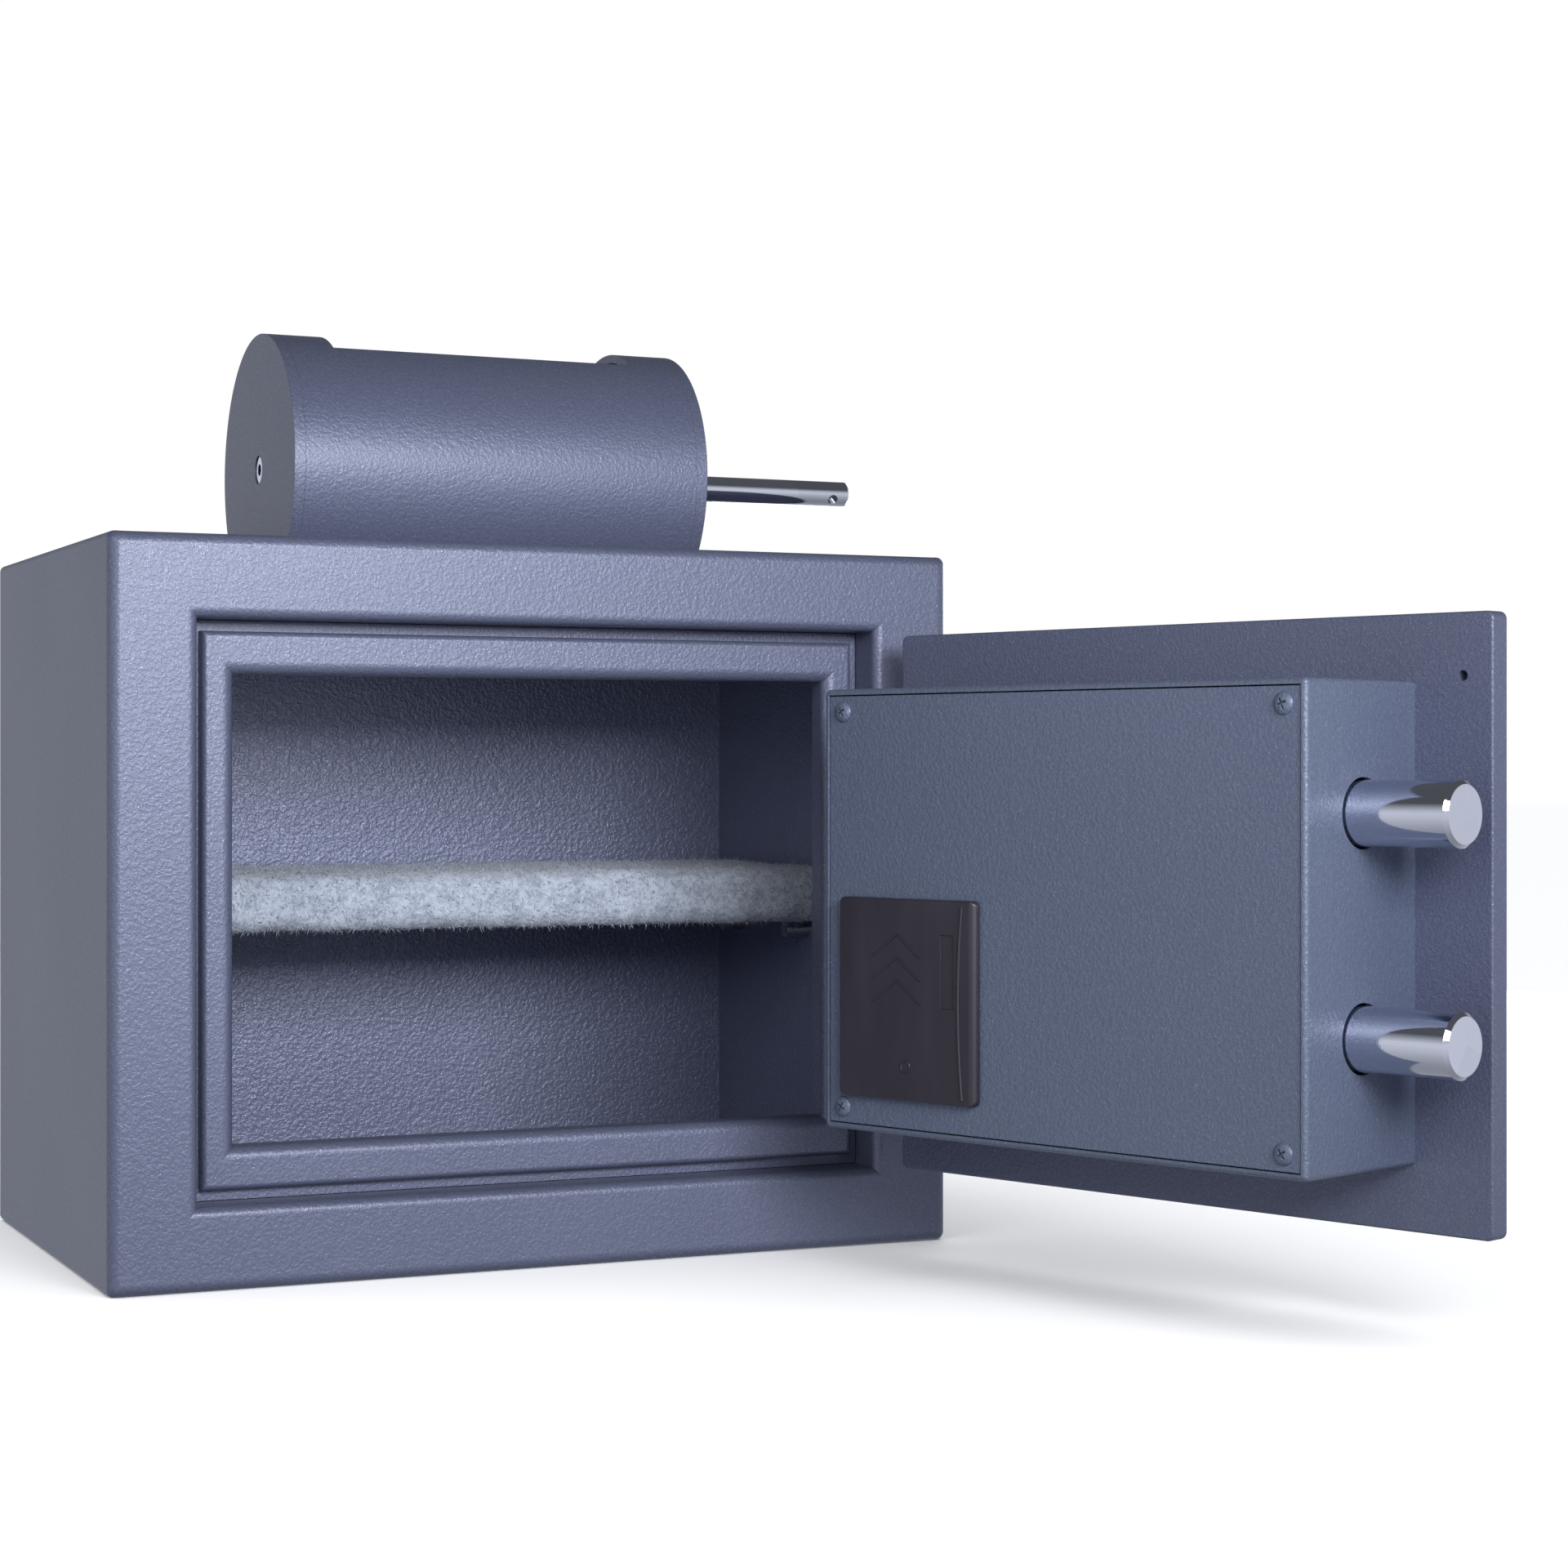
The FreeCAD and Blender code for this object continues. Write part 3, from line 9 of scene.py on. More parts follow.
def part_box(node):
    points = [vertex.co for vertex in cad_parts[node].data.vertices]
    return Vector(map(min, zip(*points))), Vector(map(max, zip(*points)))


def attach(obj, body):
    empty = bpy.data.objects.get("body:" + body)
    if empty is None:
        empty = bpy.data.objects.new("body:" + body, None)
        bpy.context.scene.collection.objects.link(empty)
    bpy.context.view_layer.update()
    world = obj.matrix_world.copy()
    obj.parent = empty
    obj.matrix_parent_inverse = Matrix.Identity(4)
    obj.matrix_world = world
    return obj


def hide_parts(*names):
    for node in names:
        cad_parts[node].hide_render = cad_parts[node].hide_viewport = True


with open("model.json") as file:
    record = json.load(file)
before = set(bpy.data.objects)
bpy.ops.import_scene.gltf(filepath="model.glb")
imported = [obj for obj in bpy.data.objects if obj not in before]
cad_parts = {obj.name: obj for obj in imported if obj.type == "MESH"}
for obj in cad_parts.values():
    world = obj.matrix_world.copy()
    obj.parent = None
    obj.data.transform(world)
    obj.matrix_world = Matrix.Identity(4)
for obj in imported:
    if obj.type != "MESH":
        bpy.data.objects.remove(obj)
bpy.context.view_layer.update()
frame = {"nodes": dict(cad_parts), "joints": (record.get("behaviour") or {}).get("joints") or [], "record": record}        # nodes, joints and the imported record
nodes = frame["nodes"]
scene = bpy.context.scene


# The door's place, open as it is at rest and turned back shut.

doorJoint = [joint for joint in frame["joints"] if joint["name"] == "door_swing"][0]
hinge = Matrix.Translation(doorJoint["pos_m"])
opened = math.radians(-doorJoint["range_deg"][0])     # the door stands open by this much at rest
doorTurn = hinge @ Matrix.Rotation(opened, 4, "Z") @ hinge.inverted()


def closedBox(name):      # a door part's box with the door shut, where its sides are square to the axes
    shut = doorTurn.inverted()
    corners = [shut @ vertex.co for vertex in nodes[name].data.vertices]
    low = Vector([min(point[axis] for point in corners) for axis in range(3)])
    high = Vector([max(point[axis] for point in corners) for axis in range(3)])
    return low, high


# Shader and geometry trees, with their maths written as plain expressions.

class Signal:             # a node's output that can be added, multiplied and so on
    def __init__(self, tree, socket):
        self.tree = tree
        self.socket = socket

    def maths(self, operation, first, second):
        return self.tree.node("ShaderNodeMath", {"operation": operation}, {0: first, 1: second})

    def __add__(self, other):
        return self.maths("ADD", self, other)

    def __radd__(self, other):
        return self.maths("ADD", other, self)

    def __sub__(self, other):
        return self.maths("SUBTRACT", self, other)

    def __rsub__(self, other):
        return self.maths("SUBTRACT", other, self)

    def __mul__(self, other):
        return self.maths("MULTIPLY", self, other)

    def __rmul__(self, other):
        return self.maths("MULTIPLY", other, self)

    def __truediv__(self, other):
        return self.maths("DIVIDE", self, other)


class NodeTree:
    def __init__(self, tree):
        self.tree = tree

    def node(self, kind, settings=None, inputs=None, output=0):
        made = self.tree.nodes.new(kind)
        for name, value in (settings or {}).items():
            if name == "stops":
                self.setStops(made.color_ramp.elements, value)
            else:
                setattr(made, name, value)
        for name, value in (inputs or {}).items():
            for part in value if isinstance(value, list) else [value]:
                if isinstance(part, Signal):
                    self.tree.links.new(part.socket, made.inputs[name])
                else:
                    made.inputs[name].default_value = part
        return Signal(self, made.outputs[output]) if made.outputs else None

    def setStops(self, elements, stops):
        elements[0].position = stops[0][0]
        elements[1].position = stops[-1][0]
        for position, _ in stops[1:-1]:
            elements.new(position)
        for element, (_, colour) in zip(elements, stops):
            element.color = (*colour, 1) if isinstance(colour, tuple) else (colour, colour, colour, 1)

    def mix(self, share, first, second, blend="MIX"):      # of two colours
        return self.node("ShaderNodeMix", {"data_type": "RGBA", "blend_type": blend},
                         {0: share, 6: first, 7: second}, 2)

    def scaled(self, vector, amounts):
        return self.node("ShaderNodeVectorMath", {"operation": "MULTIPLY"}, {0: vector, 1: amounts})

    def noise(self, place, scale, detail=2.0, rough=0.5):
        return self.node("ShaderNodeTexNoise", {}, {
            "Vector": place, "Scale": scale, "Detail": detail, "Roughness": rough})

    def cells(self, place, scale, feature="F1", output="Distance"):
        return self.node("ShaderNodeTexVoronoi", {"feature": feature}, {"Vector": place, "Scale": scale},
                         output)

    def smooth(self, value, low, high):                    # 0 below low, 1 above high
        return self.node("ShaderNodeMapRange", {"interpolation_type": "SMOOTHSTEP"}, {
            "Value": value, "From Min": low, "From Max": high})


class Finish(NodeTree):   # a material with its Principled shader
    def __init__(self, name, constants):
        self.material = bpy.data.materials.new(name)
        self.material.use_nodes = True
        super().__init__(self.material.node_tree)
        self.tree.nodes.clear()
        self.shader = self.tree.nodes.new("ShaderNodeBsdfPrincipled")
        self.place = self.node("ShaderNodeTexCoord", output="Object")
        self.node("ShaderNodeOutputMaterial", {}, {"Surface": Signal(self, self.shader.outputs["BSDF"])})
        for socket, value in constants.items():
            self.shader.inputs[socket].default_value = value

    def feed(self, **varying):
        for name, value in varying.items():
            socket = {"colour": "Base Color", "rough": "Roughness", "metal": "Metallic", "normal": "Normal",
                      "glow": "Emission Color"}[name]
            self.tree.links.new(value.socket, self.shader.inputs[socket])
        return self.material

    def bump(self, height, depth, roundness=0.0):          # depth in metres for a height of 0 to 1
        inputs = {"Height": height, "Distance": depth, "Strength": 1.0}
        if roundness:
            inputs["Normal"] = self.node("ShaderNodeBevel", {"samples": 4}, {"Radius": roundness})
        return self.node("ShaderNodeBump", {}, inputs)


def display(red, green, blue):                             # a colour picked on a screen, made linear
    return tuple(((part / 255 + 0.055) / 1.055) ** 2.4 for part in (red, green, blue))


def solid(colour):
    return (*colour, 1.0)


# Finishes: painted steel, bare metal, plastic, felt and print.

coatLooks = {             # colours, grain per metre, depth of the texture, share of painted glints (light specks standing in for highlights)
    "body_coat": {"deep": display(88, 95, 120), "pale": display(102, 109, 134), "grain": 720,
                  "depth": 0.00013, "paintedGlints": 0.30, "rough": 0.40},
    "casing_coat": {"deep": display(93, 104, 128), "pale": display(107, 118, 142), "grain": 640,
                    "depth": 0.00015, "paintedGlints": 0.30, "rough": 0.42},
    "inner_coat": {"deep": display(98, 105, 132), "pale": display(114, 120, 146), "grain": 620,
                   "depth": 0.00030, "paintedGlints": 0.45, "rough": 0.34},
}


def powderCoat(name, look):
    paint = Finish(name, {"Metallic": 0.25, "Specular IOR Level": 0.6, "Coat Weight": 0.12,
                          "Coat Roughness": 0.25})
    grain = paint.noise(paint.place, look["grain"], 2.0, 0.55)
    blobs = paint.cells(paint.place, look["grain"] * 0.8, "SMOOTH_F1")
    drift = paint.noise(paint.place, 7, 3.0)
    # painted glints: light specks in the colour that stand in for highlights on the bumps; the specks are
    # also a little less rough
    paintedGlints = paint.smooth(paint.noise(paint.place, look["grain"] * 3.1, 1.0), 0.62, 0.72)
    peel = paint.smooth(grain, 0.35, 0.68)
    colour = paint.mix(drift * 0.6 + peel * 0.4, solid(look["deep"]), solid(look["pale"]))
    # painted highlight: the colour is lightened at the glints
    colour = paint.mix(paintedGlints * look["paintedGlints"], colour, solid(display(196, 200, 222)))
    height = peel * 0.6 + (1 - blobs) * 0.4
    return paint.feed(colour=colour, rough=look["rough"] + drift * 0.10 - paintedGlints * 0.12,
                      normal=paint.bump(height, look["depth"], 0.0005))


metalLooks = {            # colour, roughness, size of the plating's spangle per metre, scratches
    "shelf_steel": {"colour": display(178, 180, 186), "rough": 0.34, "spangle": 130, "streak": 0.5},
    "plated_steel": {"colour": display(190, 192, 196), "rough": 0.28, "spangle": 420, "streak": 0.4},
    "bright_chrome": {"colour": display(226, 229, 240), "rough": 0.045, "spangle": 30, "streak": 0.10},
    "bearing_bronze": {"colour": display(176, 132, 74), "rough": 0.42, "spangle": 900, "streak": 0.3},
    "standoff_brass": {"colour": display(206, 170, 92), "rough": 0.25, "spangle": 300, "streak": 0.5},
    "contact_nickel": {"colour": display(205, 202, 194), "rough": 0.2, "spangle": 500, "streak": 0.4},
}


def bareMetal(name, look):
    metal = Finish(name, {"Metallic": 1.0})
    spangle = metal.cells(metal.place, look["spangle"], output="Color")
    tone = metal.node("ShaderNodeSeparateColor", {}, {"Color": spangle})
    scratches = metal.noise(metal.scaled(metal.place, (1600, 1600, 90)), 1.0, 3.0, 0.6)
    dull = [part * 0.86 for part in look["colour"]]
    colour = metal.mix(tone * 0.6 + scratches * 0.4, solid(look["colour"]), solid(dull))
    rough = look["rough"] + (tone - 0.5) * look["rough"] * 0.5 + scratches * look["streak"] * 0.12
    return metal.feed(colour=colour, rough=rough, normal=metal.bump(scratches, 0.00001, 0.0002))


plasticLooks = {          # colour, roughness, texture per metre and its depth
    "gloss_black": {"colour": display(44, 41, 51), "worn": display(58, 55, 66), "rough": 0.30,
                    "grain": 900, "depth": 0.00003},
    "matte_black": {"colour": display(38, 38, 42), "worn": display(56, 56, 61), "rough": 0.52,
                    "grain": 1500, "depth": 0.00008},
    "key_rubber": {"colour": display(52, 54, 60), "worn": display(66, 68, 74), "rough": 0.62,
                   "grain": 2200, "depth": 0.00004},
}


def mouldedPlastic(name, look):
    plastic = Finish(name, {"Specular IOR Level": 0.5})
    grain = plastic.noise(plastic.place, look["grain"], 2.0)
    flow = plastic.noise(plastic.scaled(plastic.place, (30, 30, 9)), 1.0, 3.0)
    colour = plastic.mix(plastic.smooth(flow, 0.35, 0.75), solid(look["colour"]), solid(look["worn"]))
    return plastic.feed(colour=colour, rough=look["rough"] + flow * 0.12 + grain * 0.05,
                        normal=plastic.bump(grain, look["depth"], 0.0003))


def mineralFilling(name):
    cast = Finish(name, {})
    grit = cast.noise(cast.place, 380, 4.0, 0.65)
    # the voids are hollows in the bump, and their colour is darkened with painted shade
    shadedVoids = cast.smooth(cast.cells(cast.place, 210), 0.16, 0.05)
    colour = cast.mix(grit, solid(display(150, 147, 140)), solid(display(196, 193, 186)))
    # painted shade: darker colour inside the voids
    colour = cast.mix(shadedVoids * 0.7, colour, solid(display(96, 93, 88)))
    return cast.feed(colour=colour, rough=0.8 + grit * 0.15, normal=cast.bump(grit - shadedVoids, 0.0006))


carpetColours = {"deep": display(150, 160, 177), "felt": display(188, 198, 214),
                 "bright": display(226, 233, 246)}


def carpetFelt(name):
    felt = Finish(name, {"Sheen Weight": 0.35, "Sheen Roughness": 0.5, "Specular IOR Level": 0.15})
    tufts = felt.noise(felt.place, 330, 3.0, 0.6)
    clumps = felt.noise(felt.place, 95, 2.0, 0.5)
    strands = felt.noise(felt.scaled(felt.place, (1500, 700, 700)), 1.0, 3.0, 0.7)
    colour = felt.mix(felt.smooth(tufts * 0.6 + clumps * 0.4, 0.36, 0.62),
                      solid(carpetColours["deep"]), solid(carpetColours["felt"]))
    colour = felt.mix(felt.smooth(strands, 0.5, 0.72) * 0.75, colour, solid(carpetColours["bright"]))
    return felt.feed(colour=colour, rough=0.85 + strands * 0.1,
                     normal=felt.bump(tufts * 0.7 + strands * 0.3, 0.0011))


def circuitBoard(name):
    board = Finish(name, {"Coat Weight": 0.4, "Coat Roughness": 0.15})
    tracks = board.node("ShaderNodeTexBrick", {"offset": 0.37, "squash": 1.0}, {
        "Vector": board.place, "Scale": 90.0, "Mortar Size": 0.06, "Color1": solid((0.0, 0.0, 0.0)),
        "Color2": solid((0.1, 0.1, 0.1)), "Mortar": solid((1.0, 1.0, 1.0))})
    pads = board.smooth(board.cells(board.place, 260), 0.22, 0.16)
    track = board.node("ShaderNodeSeparateColor", {}, {"Color": tracks})
    colour = board.mix(track, solid(display(14, 66, 38)), solid(display(26, 98, 54)))
    colour = board.mix(pads, colour, solid(display(206, 204, 196)))
    return board.feed(colour=colour, rough=0.35 - pads * 0.1,
                      normal=board.bump(track * 0.5 + pads * 0.5, 0.00006))


def cellJacket(name):
    low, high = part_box("batteries")
    jacket = Finish(name, {"Coat Weight": 0.6, "Coat Roughness": 0.12})
    height = jacket.node("ShaderNodeSeparateXYZ", {}, {0: jacket.place}, "Z")
    along = (height - low.z) / (high.z - low.z)
    scuffs = jacket.noise(jacket.place, 240, 4.0, 0.65)
    copper = jacket.smooth(along, 0.70, 0.705)
    colour = jacket.mix(copper, solid(display(30, 30, 34)), solid(display(186, 112, 62)))
    colour = jacket.mix(jacket.smooth(scuffs, 0.62, 0.7) * 0.3, colour, solid(display(150, 150, 154)))
    return jacket.feed(colour=colour, metal=0.2 + copper * 0.7, rough=0.3 + scuffs * 0.12,
                       normal=jacket.bump(scuffs, 0.00003))


def printedInk(name):
    ink = Finish(name, {"Specular IOR Level": 0.3})
    wear = ink.noise(ink.place, 900, 3.0)
    worn = ink.smooth(wear, 0.4, 0.7)
    colour = ink.mix(worn, solid(display(226, 227, 230)), solid(display(190, 192, 197)))
    return ink.feed(colour=colour, rough=0.5 + wear * 0.2)


def indicatorLens(name, colour):
    lens = Finish(name, {"Coat Weight": 0.8, "Coat Roughness": 0.05, "Emission Strength": 0.15})
    depth = lens.noise(lens.place, 700, 2.0)
    tint = lens.mix(depth, solid(colour), solid([part * 0.5 for part in colour]))
    return lens.feed(colour=tint, glow=tint, rough=0.15 + depth * 0.1)


finishes = {name: powderCoat(name, look) for name, look in coatLooks.items()}
finishes.update({name: bareMetal(name, look) for name, look in metalLooks.items()})
finishes.update({name: mouldedPlastic(name, look) for name, look in plasticLooks.items()})
finishes["barrier_filling"] = mineralFilling("barrier_filling")
finishes["shelf_pile"] = carpetFelt("shelf_pile")
finishes["board_green"] = circuitBoard("board_green")
finishes["cell_jacket"] = cellJacket("cell_jacket")
keyInk = printedInk("keyInk")

for part in frame["record"]["subparts"]:
    surface = nodes[part["node"]].material_slots[0]
    surface.link = "OBJECT"
    surface.material = finishes[part["material_slot"]]
print("finishes:", len(finishes))


# Pieces: each is a mesh that rides on a body.

def newObject(name, mesh):
    piece = bpy.data.objects.new(name, mesh)
    scene.collection.objects.link(piece)
    return piece


def newMesh(name, points, faces, edges=()):
    mesh = bpy.data.meshes.new(name)
    mesh.from_pydata([tuple(point) for point in points], list(edges), faces)
    return mesh


def takeMesh(carrier):                                     # its finished mesh; the carrier itself goes
    depsgraph = bpy.context.evaluated_depsgraph_get()
    mesh = bpy.data.meshes.new_from_object(carrier.evaluated_get(depsgraph))
    carrier.modifiers.clear()
    bpy.data.objects.remove(carrier)
    return mesh


def faceOutwards(mesh, merge=0.00001):
    form = bmesh.new()
    form.from_mesh(mesh)
    bmesh.ops.remove_doubles(form, verts=form.verts, dist=merge)
    bmesh.ops.recalc_face_normals(form, faces=form.faces)
    form.to_mesh(mesh)
    form.free()


def finishPiece(piece, body, material=None, smooth=True):
    if material is not None:
        piece.data.materials.clear()
        piece.data.materials.append(material)
    piece.data.polygons.foreach_set("use_smooth", [smooth] * len(piece.data.polygons))
    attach(piece, body)
    return piece


class Recipe(NodeTree):   # a geometry node group with named inputs
    def __init__(self, name, inputs):
        group = bpy.data.node_groups.new(name, "GeometryNodeTree")
        super().__init__(group)
        group.interface.new_socket(name="Geometry", in_out="INPUT", socket_type="NodeSocketGeometry")
        group.interface.new_socket(name="Geometry", in_out="OUTPUT", socket_type="NodeSocketGeometry")
        self.identifiers = {}
        for label, value in inputs.items():
            kind = "NodeSocketInt" if isinstance(value, int) else "NodeSocketFloat"
            socket = group.interface.new_socket(name=label, in_out="INPUT", socket_type=kind)
            self.identifiers[label] = socket.identifier
        self.given = group.nodes.new("NodeGroupInput")
        self.inputs = inputs

    def ask(self, label):
        return Signal(self, self.given.outputs[label])

    def vector(self, x=0.0, y=0.0, z=0.0):
        return self.node("ShaderNodeCombineXYZ", {}, {"X": x, "Y": y, "Z": z})

    def moved(self, geometry, **how):
        names = {"shift": "Translation", "turn": "Rotation", "scale": "Scale"}
        return self.node("GeometryNodeTransform", {}, {
            "Geometry": geometry, **{names[key]: value for key, value in how.items()}})

    def joined(self, *parts):
        return self.node("GeometryNodeJoinGeometry", {}, {"Geometry": list(parts)})

    def close(self, geometry, material):
        real = self.node("GeometryNodeRealizeInstances", {}, {"Geometry": geometry})
        painted = self.node("GeometryNodeSetMaterial", {}, {"Geometry": real, "Material": material})
        self.node("NodeGroupOutput", {}, {"Geometry": painted})


def grow(name, base, recipe, turn=None):                   # a recipe run on a base mesh, as a plain mesh
    carrier = newObject(name + "Base", base)
    modifier = carrier.modifiers.new("recipe", "NODES")
    modifier.node_group = recipe.tree
    for label, value in recipe.inputs.items():
        modifier[recipe.identifiers[label]] = value
    mesh = takeMesh(carrier)
    mesh.name = name
    if turn is not None:
        mesh.transform(turn)
    return newObject(name, mesh)


# Carpet: one cut of felt wrapped round the shelf board, from its rear edge over the nose and back below.

carpet = {"thick": 0.0055, "nose": 0.009, "across": 120, "straight": 46, "bend": 7, "wave": 0.0007,
          "waveScale": 60.0, "inset": 0.0008, "flatness": 6, "tightest": 0.0012, "rootDepth": 0.0004}
carpetLow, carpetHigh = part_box("shelf_carpet")


def carpetProfile(depth):                                  # y and z of a layer that far under the surface
    rear = carpetHigh.y
    front = carpetLow.y + depth
    top = carpetHigh.z - depth
    bottom = carpetLow.z + depth
    radius = max(carpet["nose"] - depth, carpet["tightest"])
    points = []
    for step in range(carpet["straight"]):
        share = step / carpet["straight"]
        points.append((rear + (front + radius - rear) * share, top))
    for centre, start in ((top - radius, 90), (bottom + radius, 180)):
        for step in range(carpet["bend"] + 1):
            angle = math.radians(start + 90 * step / carpet["bend"])
            points.append((front + radius + radius * math.cos(angle), centre + radius * math.sin(angle)))
    for step in range(1, carpet["straight"] + 1):
        share = step / carpet["straight"]
        points.append((front + radius + (rear - front - radius) * share, bottom))
    return points


def carpetPoints(depth, wave):                             # the layer, with small waves towards the board
    middle = Vector((0, (carpetLow.y + carpetHigh.y) / 2, (carpetLow.z + carpetHigh.z) / 2))
    rows = []
    for y, z in carpetProfile(depth):
        row = []
        for step in range(carpet["across"] + 1):
            x = carpetLow.x + (carpetHigh.x - carpetLow.x) * step / carpet["across"]
            point = Vector((x, y, z))
            lift = noise.fractal(point * carpet["waveScale"], 0.6, 2.0, 4) * wave
            inwards = Vector((0, middle.y - y, (middle.z - z) * carpet["flatness"])).normalized()
            row.append(point + inwards * (carpet["inset"] * (wave > 0) + lift))
        rows.append(row)
    return rows


def stripFaces(rows, columns, start, flip):
    faces = []
    for row in range(rows - 1):
        for column in range(columns - 1):
            corner = start + row * columns + column
            face = [corner, corner + 1, corner + columns + 1, corner + columns]
            faces.append(face[::-1] if flip else face)
    return faces


def wrapCarpet():
    outer = carpetPoints(0.0, carpet["wave"])
    inner = carpetPoints(carpet["thick"], 0.0)
    rows, columns = len(outer), carpet["across"] + 1
    points = [point for row in outer + inner for point in row]
    layer = rows * columns
    faces = stripFaces(rows, columns, 0, False) + stripFaces(rows, columns, layer, True)
    for row in range(rows - 1):                            # the two cut sides
        for column in (0, columns - 1):
            corner = row * columns + column
            faces.append([corner, corner + columns, corner + columns + layer, corner + layer])
    for column in range(columns - 1):                      # the two rear ends
        for row in (0, rows - 1):
            corner = row * columns + column
            faces.append([corner, corner + 1, corner + 1 + layer, corner + layer])
    mesh = newMesh("shelfCarpet", points, faces)
    faceOutwards(mesh)
    return finishPiece(newObject("shelfCarpet", mesh), "cabinet", finishes["shelf_pile"])


pile = {"Fibres per square metre": 330000.0, "Fibre length": 0.0026, "Fibre radius": 0.00022,
        "Tip radius": 0.00003, "Shortest": 0.5, "Longest": 1.25, "Seed": 7}
pileLean = 1.25                                            # radians, the most a fibre leans either way


def pileRecipe():
    recipe = Recipe("pile", pile)
    scattered = recipe.node("GeometryNodeDistributePointsOnFaces", {"distribute_method": "RANDOM"}, {
        "Mesh": recipe.ask("Geometry"), "Density": recipe.ask("Fibres per square metre"),
        "Seed": recipe.ask("Seed")}, "Points")
    standing = Signal(recipe, scattered.socket.node.outputs["Rotation"])
    fibre = recipe.node("GeometryNodeMeshCone", {"fill_type": "NONE"}, {
        "Vertices": 3, "Side Segments": 1, "Radius Top": recipe.ask("Tip radius"),
        "Radius Bottom": recipe.ask("Fibre radius"), "Depth": recipe.ask("Fibre length")}, "Mesh")
    lean = recipe.node("FunctionNodeRandomValue", {"data_type": "FLOAT_VECTOR"}, {
        0: (-pileLean, -pileLean, 0.0), 1: (pileLean, pileLean, 6.28), "Seed": recipe.ask("Seed")})
    turned = recipe.node("FunctionNodeRotateRotation", {"rotation_space": "LOCAL"}, {
        "Rotation": standing, "Rotate By": lean})
    stretch = recipe.node("FunctionNodeRandomValue", {"data_type": "FLOAT"}, {
        2: recipe.ask("Shortest"), 3: recipe.ask("Longest"), "Seed": recipe.ask("Seed") + 3}, 1)
    planted = recipe.node("GeometryNodeInstanceOnPoints", {}, {
        "Points": scattered, "Instance": fibre, "Rotation": turned, "Scale": stretch})
    recipe.close(planted, finishes["shelf_pile"])
    return recipe


def carpetGround():                                        # the top and the nose, where fibres show
    rows = carpetPoints(carpet["rootDepth"], carpet["wave"])[:carpet["straight"] + 2 * carpet["bend"] + 2]
    columns = carpet["across"] + 1
    points = [point for row in rows for point in row]
    mesh = newMesh("pileGround", points, stripFaces(len(rows), columns, 0, False))
    if mesh.polygons[0].normal.z < 0:
        mesh.flip_normals()
    return mesh


shelfCarpet = wrapCarpet()
carpetPile = grow("carpetPile", carpetGround(), pileRecipe())
finishPiece(carpetPile, "cabinet", finishes["shelf_pile"])
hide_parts("shelf_carpet")
print("carpet:", len(shelfCarpet.data.polygons), "faces,", len(carpetPile.data.polygons), "pile faces")


# Cover screws: domed heads with a cross recess.

coverScrew = {"Head radius": 0.0044, "Head height": 0.0019, "Slot reach": 0.0021, "Slot width": 0.0008,
              "Slot floor": 0.0006, "Shank radius": 0.0019, "Shank length": 0.010,
              "Shank overlap": 0.0001, "Seed": 4}


def screwRecipe():
    recipe = Recipe("screw", coverScrew)
    height = recipe.ask("Head height")
    dome = recipe.node("GeometryNodeMeshUVSphere", {}, {"Segments": 36, "Rings": 22, "Radius": 1.0}, "Mesh")
    dome = recipe.moved(dome, scale=recipe.vector(recipe.ask("Head radius"), recipe.ask("Head radius"),
                                                 height))
    under = recipe.node("GeometryNodeMeshCube", {}, {"Size": (0.03, 0.03, 0.02)}, "Mesh")
    under = recipe.moved(under, shift=(0.0, 0.0, -0.01))   # takes the lower half of the dome away
    reach = recipe.ask("Slot reach") * 2
    blade = recipe.node("GeometryNodeMeshCube", {}, {
        "Size": recipe.vector(reach, recipe.ask("Slot width"), height * 2)}, "Mesh")
    blade = recipe.moved(blade, shift=recipe.vector(0.0, 0.0, height + recipe.ask("Slot floor")))
    crossed = recipe.moved(blade, turn=(0.0, 0.0, math.pi / 2))
    head = recipe.node("GeometryNodeMeshBoolean", {"operation": "DIFFERENCE", "solver": "EXACT"}, {
        "Mesh 1": dome, "Mesh 2": [under, blade, crossed]})
    shank = recipe.node("GeometryNodeMeshCylinder", {}, {
        "Vertices": 20, "Radius": recipe.ask("Shank radius"), "Depth": recipe.ask("Shank length")}, "Mesh")
    drop = recipe.ask("Shank overlap") - recipe.ask("Shank length") * 0.5
    shank = recipe.moved(shank, shift=recipe.vector(0.0, 0.0, drop))
    twist = recipe.node("FunctionNodeRandomValue", {"data_type": "FLOAT"}, {
        2: 0.0, 3: 3.1, "Seed": recipe.ask("Seed")}, 1)
    placed = recipe.node("GeometryNodeInstanceOnPoints", {}, {
        "Points": recipe.ask("Geometry"), "Instance": recipe.joined(head, shank),
        "Rotation": recipe.vector(0.0, 0.0, twist)})
    recipe.close(placed, finishes["casing_coat"])
    return recipe


def solidCentres(name):                                    # the middle of each solid, with the door shut
    form = bmesh.new()
    form.from_mesh(nodes[name].data)
    form.transform(doorTurn.inverted())
    bmesh.ops.remove_doubles(form, verts=form.verts, dist=0.00001)
    left = set(form.verts)
    centres = []
    while left:
        group = [left.pop()]
        for vertex in group:
            for edge in vertex.link_edges:
                other = edge.other_vert(vertex)
                if other in left:
                    left.remove(other)
                    group.append(other)
        low = [min(vertex.co[axis] for vertex in group) for axis in range(3)]
        high = [max(vertex.co[axis] for vertex in group) for axis in range(3)]
        centres.append((Vector(low) + Vector(high)) / 2)
    form.free()
    return sorted(centres, key=lambda centre: [round(part, 4) for part in centre])   # same order each run


